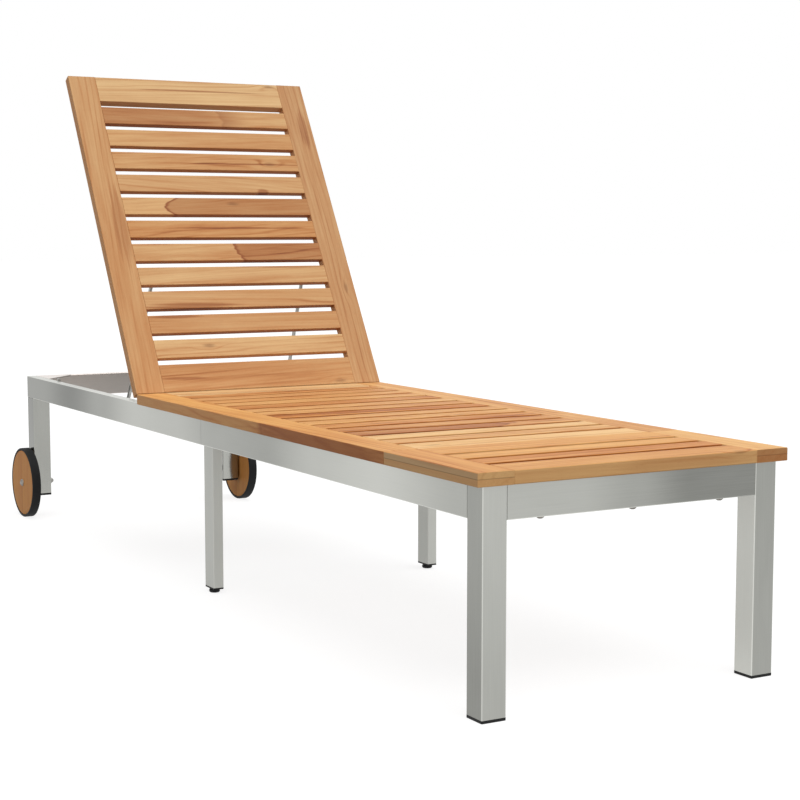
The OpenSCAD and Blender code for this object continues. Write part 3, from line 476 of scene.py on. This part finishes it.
def brushed_steel(name, steel, along, sheen, tones, corner_sheen, rougher, pale):
    """Stainless steel tube, ground with a belt along its length. Fine lines run along the tube,
    painted reflections come and go in long soft bands along it, each pair of faces has its own
    painted light and shade, and the round corners carry painted highlights. TUBES tells the
    values."""
    tree, shader = start_material(name)
    coordinates = add(tree, "TexCoord").outputs
    place = coordinates["Object"]
    lines, clouds = (
        noise(tree, place, [1 / (LINE_LENGTH if i == along else width) for i in range(3)], detail)
        for width, detail in ((steel.scratch, 3.0), (CLOUD_WIDTH, 2.0)))
    # Painted reflection: long soft bands of brightness along the tube, by place
    start, stop = sheen[0][0], sheen[-1][0]
    way = add(tree, "MapRange", [add(tree, "SeparateXYZ", [place]).outputs[along], start, stop])
    bands = add(tree, "ValToRGB", [way],
                stops=[((where - start) / (stop - start), bright) for where, bright in sheen])
    bands.color_ramp.interpolation = "EASE"
    # Painted light and shade by the way a face points, and painted highlights on the round corners
    normal = add(tree, "SeparateXYZ", [coordinates["Normal"]]).outputs
    facing = [add(tree, "Math.ABSOLUTE", [normal[i]]) for i in range(3) if i != along]
    corner = add(tree, "Math.MULTIPLY", facing)
    level = bands
    for part, weight in ((clouds, CLOUD_TONE), (lines, LINE_TONE), *zip(facing, tones),
                         (corner, corner_sheen)):
        level = add(tree, "Math.MULTIPLY_ADD", [part, weight, level])
    join(tree, shader, {
        "Base Color": add(tree, "ValToRGB", [level], stops=((0.0, steel.dark), (1.0, pale))),
        "Roughness": add(tree, "Math.MULTIPLY_ADD",
                         [lines, LINE_ROUGHNESS, rougher * steel.roughness]),
        "Metallic": 1.0,
        "Normal": add(tree, "Bump", {"Height": lines, "Strength": 0.12,
                                     "Distance": LINE_DEPTH})})


# Levels between which most of a noise lies
NOISE_RANGE = (0.3, 0.7)
# Width of the stains, and how much rougher they make the steel
STAIN_WIDTH = 6 * MM
STAIN_ROUGHNESS = 0.2


def tumbled_steel(name, pale, dark, roughness):
    """Stainless fasteners and bent rod, tumbled and passivated: an even grey of no direction,
    with faint stains."""
    tree, shader = start_material(name)
    place = add(tree, "TexCoord").outputs["Object"]
    stain = add(tree, "TexNoise", {"Vector": place, "Scale": 1 / STAIN_WIDTH, "Detail": 4.0})
    join(tree, shader, {
        "Base Color": add(tree, "ValToRGB", [stain], stops=list(zip(NOISE_RANGE, (dark, pale)))),
        "Roughness": add(tree, "Math.MULTIPLY_ADD",
                         [stain, STAIN_ROUGHNESS, roughness - STAIN_ROUGHNESS / 2]),
        "Metallic": 1.0})


# Width of the places that hands have polished, how much rougher the rest is, and how much of that
# is taken off the whole; and the depth of the mould's grain
POLISH_WIDTH = 25 * MM
POLISH = (0.15, 0.07)
MOULD_DEPTH = 0.1 * MM


def moulded(name, pale, dark, roughness, grain):
    """Moulded plastic or rubber with a fine spark-eroded grain of the given width, and clouds
    where hands have polished it."""
    tree, shader = start_material(name)
    place = add(tree, "TexCoord").outputs["Object"]
    cloud = add(tree, "TexNoise", {"Vector": place, "Scale": 1 / POLISH_WIDTH, "Detail": 3.0})
    speck = add(tree, "TexNoise", {"Vector": place, "Scale": 1 / grain, "Detail": 2.0})
    join(tree, shader, {
        "Base Color": add(tree, "ValToRGB", [cloud], stops=list(zip(NOISE_RANGE, (dark, pale)))),
        "Roughness": add(tree, "Math.MULTIPLY_ADD", [cloud, POLISH[0], roughness - POLISH[1]]),
        "Specular IOR Level": 0.3,
        "Normal": add(tree, "Bump", {"Height": speck, "Strength": 0.25,
                                     "Distance": MOULD_DEPTH})})


# ------ shapes

def rounded_section(width, height, radius, steps=4):
    """Outline of a rectangle with round corners, and its outward normals: each corner is its
    centre plus the radius times (cos a, sin a), with a going through a quarter turn."""
    quarter = np.linspace(0, math.pi / 2, steps + 1)
    angle = np.arange(4)[:, None] * math.pi / 2 + quarter
    side = np.array([[1, 1], [-1, 1], [-1, -1], [1, -1]])[:, None, :]
    out = np.stack([np.cos(angle), np.sin(angle)], axis=-1)
    centre = side * np.array([width / 2 - radius, height / 2 - radius])
    return (centre + radius * out).reshape(-1, 2), out.reshape(-1, 2)


def grid_faces(rows, columns, close_rows=False):
    """Quads of a grid that is closed along its columns, and along its rows too if asked."""
    row = np.arange(rows if close_rows else rows - 1)[:, None] * columns
    below = (row + columns) % (rows * columns)
    left = np.arange(columns)
    right = (left + 1) % columns
    return np.stack([row + left, row + right, below + right, below + left],
                    axis=-1).reshape(-1, 4)


def capped_faces(rows, columns, start=0):
    """Quads of a grid that is closed along its columns, with a face over its first and its last
    row. start is the number of the first point."""
    first = np.arange(start, start + columns)
    last = first + (rows - 1) * columns
    quads = (grid_faces(rows, columns) + start).tolist()
    return quads + [first[::-1].tolist(), last.tolist()]


def board(length, width, height, arris, end_arris, pocket=None, end_steps=3):
    """A board round the origin, x along it. The rounded section is carried along x; over each
    end arris e, with f from 0 to a quarter turn, x grows by e sin f while the section shrinks
    by e (1 - cos f). pocket cuts a square hole into the underside: where it starts and stops
    along x, the same across, and its depth. Returns points, normals, faces, of which the last
    five are the pocket's, and how far each point is on a sawn end."""
    stops, sides, depth = pocket or ((), (), 0.0)
    turn = np.linspace(0, math.pi / 2, end_steps + 1)
    reach = length / 2 - end_arris + end_arris * np.sin(turn)
    x = np.concatenate([-reach[::-1], stops, reach])
    lean = np.concatenate([-turn[::-1], np.zeros(len(stops)), turn])
    inset = end_arris * (1 - np.cos(lean))
    outline, out = rounded_section(width, height, arris)
    under = 3 * len(outline) // 4
    if pocket:
        outline = np.insert(outline, under, [(side, -height / 2) for side in sides], axis=0)
        out = np.insert(out, under, [(0.0, -1.0)] * len(sides), axis=0)
    rows, columns = len(x), len(outline)
    points, normals = np.empty((2, rows, columns, 3))
    points[..., 0] = x[:, None]
    points[..., 1:] = outline - arris * out + (arris - inset)[:, None, None] * out
    normals[..., 0] = np.sin(lean)[:, None]
    normals[..., 1:] = np.cos(lean)[:, None, None] * out
    end = np.zeros((rows, columns))
    end[[0, -1]] = 1.0
    points, normals, end = points.reshape(-1, 3), normals.reshape(-1, 3), end.ravel()
    faces = capped_faces(rows, columns)
    if pocket:
        mouth = faces.pop(len(turn) * columns + under)
        roof = [rows * columns + i for i in range(4)]
        points = np.concatenate([points, points[mouth] + [0.0, 0.0, depth]])
        normals = np.concatenate([normals, normals[mouth]])
        end = np.concatenate([end, np.zeros(4)])
        faces += [[mouth[i - 1], mouth[i], roof[i], roof[i - 1]] for i in range(4)] + [roof]
    return points, normals, faces, end


def make_piece(name, points, normals, faces, material, body, nodes, values=None, flat=0):
    """Object from arrays, smooth by its own normals but for the last faces, which are flat.
    values holds point attributes by name."""
    mesh = bpy.data.meshes.new(name)
    mesh.from_pydata(points.tolist(), [], faces)
    smooth = np.arange(len(faces)) < len(faces) - flat
    mesh.polygons.foreach_set("use_smooth", smooth)
    for key, data in (values or {}).items():
        kind, part = ("FLOAT", "value") if data.ndim == 1 else ("FLOAT_VECTOR", "vector")
        layer = mesh.attributes.new(key, kind, "POINT")
        layer.data.foreach_set(part, data.astype(np.float32).ravel())
    mesh.update()
    corners = np.concatenate(faces)
    shown = np.repeat(smooth, [len(face) for face in faces])
    mesh.normals_split_custom_set(np.where(shown[:, None], normals[corners], 0.0).tolist())
    mesh.materials.append(bpy.data.materials[material])
    made = bpy.data.objects.new(name, mesh)
    bpy.context.scene.collection.objects.link(made)
    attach(made, body)
    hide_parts(*nodes)


# ------ timber

def flat_box(node, lay_flat):
    """Lowest and highest corner of a CAD node, with the backrest laid flat if asked."""
    mesh = frame["nodes"][node].data
    points = np.empty(len(mesh.vertices) * 3, np.float32)
    mesh.vertices.foreach_get("co", points)
    points = points.reshape(-1, 3).astype(float)
    if lay_flat:
        points = tilt(points, BACK_JOINT["range_deg"][0])
    return points.min(axis=0), points.max(axis=0)


def tilt(vectors, degrees, as_points=True):
    """Turns points, or directions, about the backrest's hinge line by an angle."""
    hinge = np.array(BACK_JOINT["pos_m"]) if as_points else np.zeros(3)
    a = math.radians(degrees)
    turn = np.array([[1, 0, 0], [0, math.cos(a), -math.sin(a)], [0, math.sin(a), math.cos(a)]])
    return (vectors - hinge) @ turn.T + hinge


# Where the pith can lie beside and below a board, how much the grain may lean over the board's
# length, and the length of timber that boards are taken from
PITH_ASIDE = (20 * MM, 90 * MM)
PITH_BELOW = (30 * MM, 90 * MM)
GRAIN_LEAN = 0.035
LOG_LENGTH = 40
# A face points along an axis if that much of its normal does
FACING = 0.7
# How strong the streaks are on edges and ends, over the faces, and how warm the ends are
EDGE_FIGURE = 0.4
END_WARMTH = 0.4
# Height of the glue line over the board's middle, over its thickness
GLUE_PLACE = 0.03
# Way in metres to a feature that isn't there, and the same for a lens, in its half sizes
FAR_OFF = 1.0
NO_LENS = 9.0
# Softness of the edge of heartwood that isn't there, which must not be 0
HEART_SOFT = 3 * MM


def wood_values(grain, **levels):
    """Point attributes of wood without heartwood, lenses or knots. A level can be a number that
    holds for all points."""
    count = len(grain)
    return {"grain": grain, "heart": np.tile([-FAR_OFF, 0.0, HEART_SOFT], (count, 1)),
            "lens": np.full((count, 3), NO_LENS), "knot": np.full((count, 3), FAR_OFF),
            **{key: np.full(count, level) for key, level in levels.items()}}


def place_board(low, high, along, timber, rng, tones, warm, figure, laminated, features, pocket):
    """One board that fills a box, with its wood attributes. along is 0 for X and 1 for Y, tones
    and warm are those of its broad faces, edges and ends, figure is how strong its streaks are,
    and pocket is the box of a pocket in the underside of a board along Y."""
    size = high - low
    across = 1 - along
    if pocket:
        first, last = np.array(pocket) - (low + high) / 2
        pocket = ((first[1], last[1]), (-last[0], -first[0]), last[2] + size[2] / 2)
    points, normals, faces, end = board(size[along], size[across], size[2], timber.arris,
                                        timber.end_arris, pocket)
    aside = rng.choice([-1, 1]) * rng.uniform(*PITH_ASIDE)
    pith = np.array([0.0, aside, -rng.uniform(*PITH_BELOW)])
    grain = points - pith
    grain[:, 1:] += points[:, :1] * rng.normal(0.0, GRAIN_LEAN, 2)
    grain[:, 0] += rng.uniform(0, LOG_LENGTH)
    broad, on_side = (np.abs(normals[:, axis]) > FACING for axis in (2, 1))
    tone, warm = (np.where(broad, face, np.where(on_side, edge, sawn))
                  for face, edge, sawn in (tones, warm))
    values = wood_values(grain, tone=tone, warm=warm, end=end,
                         figure=np.where(broad, figure, EDGE_FIGURE * figure),
                         glue=points[:, 2] - GLUE_PLACE * size[2] if laminated else FAR_OFF)

    def spot(place, aside):
        """Vectors to the points of the board from a spot on its top face."""
        return points - [place * size[along] / 2, aside * size[across] / 2, size[2] / 2]

    for place, direction, aside, radius, soft, face in features["heart"]:
        way = spot(place, aside)
        shown = {"all": end > -1, "side": on_side, "end": end > 0}[face]
        values["heart"][:, 0] = np.where(shown, direction * way[:, 0], -FAR_OFF)
        values["heart"][:, 1] = way[:, 1] / math.sqrt(2 * radius * MM)
        values["heart"][:, 2] = soft * MM
    for place, aside, half_length, half_width, strength in features["lens"]:
        values["lens"] = spot(place, aside) / [half_length * MM, half_width * MM, 1.0]
        values["lens"][:, 2] = strength
    for place, aside in features["knot"]:
        values["knot"] = spot(place, aside)
    if along == 1:
        # X goes to Y, and Y to -X, so that the board stays right way round
        points, normals = (part[:, [1, 0, 2]] * [-1, 1, 1] for part in (points, normals))
    return points + (low + high) / 2, normals, faces, values


def make_boards(name, boxes, along, panel, rng, looks, shades, figure, laminated=False,
                pocket=None):
    """All boards of one CAD node as one piece. looks holds each board's tone and warmth, shades
    is how much darker the edges and ends are, which is partly painted shade and light, and how
    warm the edges are over the faces, and figure is how strong the streaks are."""
    timber = bpy.context.scene.lounger_timber
    body = "backrest" if panel == "back" else "frame"
    parts = []
    for i, ((low, high), (tone, warm)) in enumerate(zip(boxes, looks)):
        features = {kind: [rest for number, *rest in table.get(name, ()) if number == i]
                    for kind, table in (("heart", HEARTS), ("lens", LENSES), ("knot", KNOTS))}
        parts.append(place_board(np.array(low), np.array(high), along, timber, rng,
                                 (tone, tone - shades[0], tone - shades[1]),
                                 (warm, shades[2] * warm, END_WARMTH * warm), figure, laminated,
                                 features, pocket))
    start, faces = 0, []
    for points, _, own, _ in parts:
        faces += [[k + start for k in face] for face in own]
        start += len(points)
    points, normals = (np.concatenate([part[i] for part in parts]) for i in (0, 1))
    values = {key: np.concatenate([part[3][key] for part in parts]) for key in parts[0][3]}
    if body == "backrest":
        up = -BACK_JOINT["range_deg"][0]
        points = tilt(points, up)
        normals = tilt(normals, up, as_points=False)
    make_piece(name + "_boards", points, normals, faces, "planed_teak", body, [name],
               values, POCKET_FACES if pocket else 0)


def stop_pocket(side):
    """Box of the pocket in a backrest stile, laid flat, that clears the end stop of the rack."""
    low, high = np.array(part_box(f"rack_{side}"))
    low[1] = high[1] - STOP_LENGTH
    return low - STOP_ROOM, high + STOP_ROOM


def make_panel(panel, end_rails):
    """Stiles, end rails and slats of one panel, from the boxes of its CAD nodes."""
    rng = np.random.default_rng(SEEDS[panel])
    flat = panel == "back"
    stiles = [flat_box(f"{panel}_stile_{side}", flat) for side in SIDES]
    inner = (stiles[0][1][0], stiles[1][0][0])
    looks, figure = BOARDS[panel], FIGURE[panel]
    for side, box, (tone, warm, *shades) in zip(SIDES, stiles, STILES[panel]):
        make_boards(f"{panel}_stile_{side}", [box], 1, panel, rng, [(tone, warm)],
                    shades, STILE_FIGURE * figure, laminated=panel == "foot",
                    pocket=stop_pocket(side) if flat else None)
    for rail, look, shade in zip(end_rails, (looks[0], looks[-1]), END_EDGES[panel]):
        low, high = flat_box(f"{panel}_{rail}", flat)
        box = ((inner[0], low[1], stiles[0][0][2]), (inner[1], high[1], stiles[0][1][2]))
        make_boards(f"{panel}_{rail}", [box], 0, panel, rng, [look],
                    (shade, 0.0, RAIL_EDGE_WARMTH), figure)
    low, high = flat_box(f"{panel}_slats", flat)
    count = len(looks) - 2
    gap = bpy.context.scene.lounger_timber.slat_gap
    width = (high[1] - low[1] - (count - 1) * gap) / count
    starts = low[1] + np.arange(count) * (width + gap)
    boxes = [((inner[0], y, low[2]), (inner[1], y + width, high[2])) for y in starts]
    make_boards(f"{panel}_slats", boxes, 0, panel, rng, looks[1:-1], SLAT_SHADES, figure)


class MakeFootPanel(bpy.types.Operator):
    """Makes the boards of the short panel at the foot end"""
    bl_idname = "lounger.make_foot_panel"
    bl_label = "Foot panel"

    def execute(self, context):
        make_panel("foot", ("front_rail", "rear_rail"))
        return {"FINISHED"}


class MakeSeatPanel(bpy.types.Operator):
    """Makes the boards of the seat panel"""
    bl_idname = "lounger.make_seat_panel"
    bl_label = "Seat panel"

    def execute(self, context):
        make_panel("seat", ("front_rail", "rear_rail"))
        return {"FINISHED"}


class MakeBackrest(bpy.types.Operator):
    """Makes the boards of the backrest"""
    bl_idname = "lounger.make_backrest"
    bl_label = "Backrest"

    def execute(self, context):
        make_panel("back", ("bottom_rail", "top_rail"))
        return {"FINISHED"}


# ------ wheels

# Where the discs lie in the log, in metres
DISC_PLACE = (3.0, 0.012, 0.055)
DISC_LOOK = {"tone": -0.2, "warm": 1.0, "figure": 0.5, "glue": FAR_OFF}
# Steps in a round corner of the tyre, which is larger than a disc's
TYRE_STEPS = 6


def turned_ring(outer, inner, rounding, corner_steps=4, steps=120):
    """Ring as wide and as large as one CAD node, with a hole as large as another. Its round
    edged outline of (x, r) is turned round the axle: (x, r cos t, r sin t) for t through a full
    turn. Returns points, normals and faces round the origin, and its middle."""
    low, high = np.array(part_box(outer))
    radius, hole = (np.ptp(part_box(node), axis=0)[1] / 2 for node in (outer, inner))
    outline, out = rounded_section(high[0] - low[0], radius - hole, rounding, corner_steps)
    outline = outline + [0, (radius + hole) / 2]
    t = np.linspace(0, 2 * math.pi, steps, endpoint=False)[:, None]
    points, normals = (
        np.stack([x + 0 * t, r * np.cos(t), r * np.sin(t)], axis=-1).reshape(-1, 3)
        for x, r in (outline.T, out.T))
    faces = grid_faces(steps, len(outline), close_rows=True).tolist()
    return points, normals, faces, (low + high) / 2


class MakeWheels(bpy.types.Operator):
    """Makes the wooden discs and the tyres"""
    bl_idname = "lounger.make_wheels"
    bl_label = "Wheels"

    def execute(self, context):
        wheel = context.scene.lounger_wheel
        for side in SIDES:
            tyre, disc, bush = (f"{part}_{side}" for part in ("tyre", "wheel_disc", "wheel_bush"))
            body = f"wheel_{side}_body"
            points, normals, faces, middle = turned_ring(tyre, disc, wheel.shoulder, TYRE_STEPS)
            make_piece(f"tyre_{side}_moulded", points + middle, normals, faces,
                       "moulded_rubber", body, [tyre])
            points, normals, faces, middle = turned_ring(disc, bush, wheel.rim_arris)
            # The grain stands upright, so the disc's top and bottom edges are sawn ends
            sawn = np.abs(normals[:, 2]) * (np.abs(normals[:, 0]) < 0.5)
            values = wood_values(points[:, [2, 1, 0]] + DISC_PLACE, end=sawn, **DISC_LOOK)
            make_piece(f"wheel_disc_{side}_turned", points + middle, normals, faces,
                       "turned_teak", body, [disc], values)
        return {"FINISHED"}


# ------ leg caps

class MakeLegCaps(bpy.types.Operator):
    """Makes the moulded caps of the front and rear legs"""
    bl_idname = "lounger.make_leg_caps"
    bl_label = "Leg caps"

    def execute(self, context):
        cap = context.scene.lounger_cap
        for legs in ("front", "rear"):
            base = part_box(f"{legs}_leg_caps")[0][2]
            # Ways out from the tube's face and heights, from the bevelled foot over the lip
            # and down to the seat under the tube
            rows = np.array([(-cap.bevel, 0.0), (cap.lip, cap.bevel), (cap.lip, cap.height),
                             (CAP_FIT, cap.height), (CAP_FIT, cap.seat)])
            points, faces = [], []
            for side in SIDES:
                low, high = np.array(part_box(f"{legs}_leg_{side}"))
                outline, out = rounded_section(high[0] - low[0], high[1] - low[1], cap.corner)
                faces += capped_faces(len(rows), len(outline), len(points))
                level = (low + high)[:2] / 2 + outline + rows[:, :1, None] * out
                height = np.broadcast_to(base + rows[:, 1:, None], level[..., :1].shape)
                points += np.concatenate([level, height], axis=-1).reshape(-1, 3).tolist()
            points = np.array(points)
            make_piece(f"{legs}_leg_caps_moulded", points, np.zeros_like(points), faces,
                       "moulded_polypropylene", "frame",
                       [f"{legs}_leg_caps"], flat=len(faces))
        return {"FINISHED"}


# ------ metal and plastic

# Brushed steel by material: its CAD nodes, the axis it runs along, its painted sheen as places in
# metres with their brightness, the painted light and shade of its two pairs of faces, the painted
# highlight of its corners, its roughness over the usual, and the setting that holds its pale
# colour
TUBES = {
    "brushed_steel_lengthwise": (
        ("side_rail_front_left", "side_rail_front_right", "side_rail_rear_left",
         "side_rail_rear_right"),
        1, ((-0.97, 0.55), (-0.73, 0.79), (-0.53, 0.65), (-0.33, 0.38), (-0.13, 0.43),
            (0.07, 0.6), (0.27, 0.64), (0.47, 0.36), (0.67, 0.12), (0.87, 0.29)),
        (0.03, 0.6), 0.6, 1.0, "pale"),
    "brushed_steel_crosswise": (
        ("front_rail", "mid_rail", "hinge_rail"),
        0, ((-0.2, 0.69), (-0.1, 0.68), (0.0, 0.53), (0.1, 0.32), (0.18, 0.33)),
        (-0.07, 0.3), 0.6, 1.0, "pale"),
    # A painted pink reflection of the timber in its pale colour, and painted light on its tops
    "brushed_steel_behind": (
        ("rear_rail", "corner_gussets"),
        0, ((-0.2, 0.69), (0.0, 0.53), (0.2, 0.33)), (-0.07, 0.6), 0.6, 1.0, "behind"),
    "brushed_steel_front_left": (
        ("front_leg_left",), 2, ((0.0, 0.5), (0.33, 0.62)), (-0.19, 0.03), 1.0, 1.0, "pale"),
    "brushed_steel_front_right": (
        ("front_leg_right",), 2, ((0.0, 0.57), (0.33, 0.54)), (0.24, -0.12), 1.4, 1.0, "pale"),
    "brushed_steel_middle": (
        ("mid_leg_left", "mid_leg_right"),
        2, ((0.0, 0.57), (0.33, 0.54)), (-0.03, 0.1), 0.15, 1.0, "pale"),
    "brushed_steel_rear": (
        ("rear_leg_left", "rear_leg_right"),
        2, ((0.0, 0.5), (0.33, 0.42)), (-0.27, 0.07), 0.3, 0.45, "pale"),
}
# Every CAD node that keeps its shape, by material
FINISHES = {
    **{name: row[0] for name, row in TUBES.items()},
    "tumbled_steel": ("joint_screws", "bracket_screws", "wood_screws", "back_screws",
                      "rack_screws", "acorn_nuts", "hinge_seat_leaves", "hinge_back_leaves",
                      "hinge_pins", "stay_clips", "prop_stay", "seat_brackets", "rack_left",
                      "rack_right", "joint_sleeves"),
    "dull_tumbled_steel": ("wheel_bolts", "panel_screws"),
    "moulded_polypropylene": ("mid_leg_caps", "glide_left", "glide_right"),
    "moulded_nylon": ("wheel_bush_left", "wheel_bush_right", "wheel_spacers"),
}


class FinishFrame(bpy.types.Operator):
    """Gives the steel, plastic and fasteners of the CAD frame their finish"""
    bl_idname = "lounger.finish_frame"
    bl_label = "Frame finish"

    def execute(self, context):
        for name, nodes in FINISHES.items():
            material = bpy.data.materials[name]
            for node in nodes:
                slots = frame["nodes"][node].data.materials
                for i in range(len(slots)):
                    slots[i] = material
        return {"FINISHED"}


class MakeMaterials(bpy.types.Operator):
    """Makes every material of the lounger"""
    bl_idname = "lounger.make_materials"
    bl_label = "Materials"

    def execute(self, context):
        timber, steel = context.scene.lounger_timber, context.scene.lounger_steel
        teak("planed_teak", timber, timber.oil)
        # The oil of the wheels' discs has gone yellower
        teak("turned_teak", timber, timber.disc_oil)
        for name, (_, *finish, pale) in TUBES.items():
            brushed_steel(name, steel, *finish, getattr(steel, pale))
        tumbled_steel("tumbled_steel", "#b9b8b4", "#8e8d89", 0.35)
        # Bolt heads near the floor look darker and flat: their darker colour is painted shade, and
        # they are rougher
        tumbled_steel("dull_tumbled_steel", "#a09c96", "#7a7670", 0.5)
        # Filled with soot, so near black; matt all over but for a faint grey shine on edges
        moulded("moulded_rubber", context.scene.lounger_wheel.rubber, "#070809", 0.7, 0.6 * MM)
        # Dyed black, a little glossier than the rubber
        moulded("moulded_polypropylene", context.scene.lounger_cap.plastic, "#050606", 0.6,
                0.4 * MM)
        # Undyed, so milky white with a yellow tinge, and waxy smooth
        moulded("moulded_nylon", "#d9d6cc", "#cbc7bb", 0.4, 0.4 * MM)
        return {"FINISHED"}


# ------ stage

FLOOR_HALF = 30.0
CLIP = (0.05, 200.0)


def seen_or_mirrored(tree):
    """1 on camera, glossy and transmission rays, and 0 on the light's own bounces."""
    path = add(tree, "LightPath").outputs
    seen = path["Is Camera Ray"]
    for kind in ("Is Glossy Ray", "Is Transmission Ray"):
        seen = add(tree, "Math.MAXIMUM", [seen, path[kind]])
    return seen


class MakeStage(bpy.types.Operator):
    """Makes the floor, the light and the camera"""
    bl_idname = "lounger.make_stage"
    bl_label = "Stage"

    def execute(self, context):
        scene = context.scene
        stage = scene.lounger_stage
        scene.view_settings.view_transform = "Standard"

        world = bpy.data.worlds.new("studio")
        scene.world = world
        world.use_nodes = True
        tree = world.node_tree
        join(tree, tree.nodes["Background"], {
            "Color": stage.white,
            "Strength": add(tree, "Math.MULTIPLY_ADD",
                            [seen_or_mirrored(tree), 1.0 - stage.sky, stage.sky])})

        # Floor painted matt white, so it shows no mirror image and no edge
        tree, shader = start_material("painted_floor")
        seen = seen_or_mirrored(tree)
        join(tree, shader, {
            "Base Color": add(tree, "Mix", {0: seen, 6: stage.floor_light, 7: stage.floor},
                              data_type="RGBA").outputs[2],
            "Roughness": 1.0, "Specular IOR Level": 0.0, "Emission Color": stage.white,
            "Emission Strength": add(tree, "Math.MULTIPLY", [seen, stage.floor_glow])})
        mesh = bpy.data.meshes.new("floor")
        mesh.from_pydata([(x * FLOOR_HALF, y * FLOOR_HALF, 0.0)
                          for x, y in ((-1, -1), (1, -1), (1, 1), (-1, 1))], [], [(0, 1, 2, 3)])
        mesh.materials.append(bpy.data.materials["painted_floor"])
        floor = bpy.data.objects.new("floor", mesh)
        scene.collection.objects.link(floor)

        lamp = bpy.data.lights.new("key", "SUN")
        lamp.energy = stage.key_power
        lamp.angle = stage.key_spread
        key = bpy.data.objects.new("key", lamp)
        key.rotation_euler = stage.key_turn
        scene.collection.objects.link(key)

        camera = bpy.data.objects.new("camera", bpy.data.cameras.new("camera"))
        camera.data.lens = stage.lens
        camera.location = stage.camera_place
        camera.rotation_euler = stage.camera_turn
        camera.data.clip_start, camera.data.clip_end = CLIP
        scene.collection.objects.link(camera)
        scene.camera = camera
        return {"FINISHED"}


# ------ panel and run

STEPS = (MakeMaterials, MakeFootPanel, MakeSeatPanel, MakeBackrest, MakeWheels, MakeLegCaps,
         FinishFrame, MakeStage)
GROUPS = {"lounger_timber": TimberSettings, "lounger_steel": SteelSettings,
          "lounger_wheel": WheelSettings, "lounger_cap": CapSettings,
          "lounger_stage": StageSettings}


class LoungerPanel(bpy.types.Panel):
    """Lists the lounger's sizes, colours and steps"""
    bl_idname = "VIEW3D_PT_lounger"
    bl_label = "Garden lounger"
    bl_space_type = "VIEW_3D"
    bl_region_type = "UI"
    bl_category = "Lounger"

    def draw(self, context):
        for name, group in GROUPS.items():
            box = self.layout.box()
            for key in group.__annotations__:
                box.prop(getattr(context.scene, name), key)
        for step in STEPS:
            self.layout.operator(step.bl_idname)


def register():
    for made in (*GROUPS.values(), *STEPS, LoungerPanel):
        bpy.utils.register_class(made)
    for name, group in GROUPS.items():
        setattr(bpy.types.Scene, name, bpy.props.PointerProperty(type=group))


def unregister():
    for name in GROUPS:
        delattr(bpy.types.Scene, name)
    for made in (LoungerPanel, *STEPS, *GROUPS.values()):
        bpy.utils.unregister_class(made)


def main():
    """Runs every step."""
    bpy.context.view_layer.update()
    register()
    for step in STEPS:
        area, name = step.bl_idname.split(".")
        getattr(getattr(bpy.ops, area), name)()


if __name__ == "__main__":
    main()
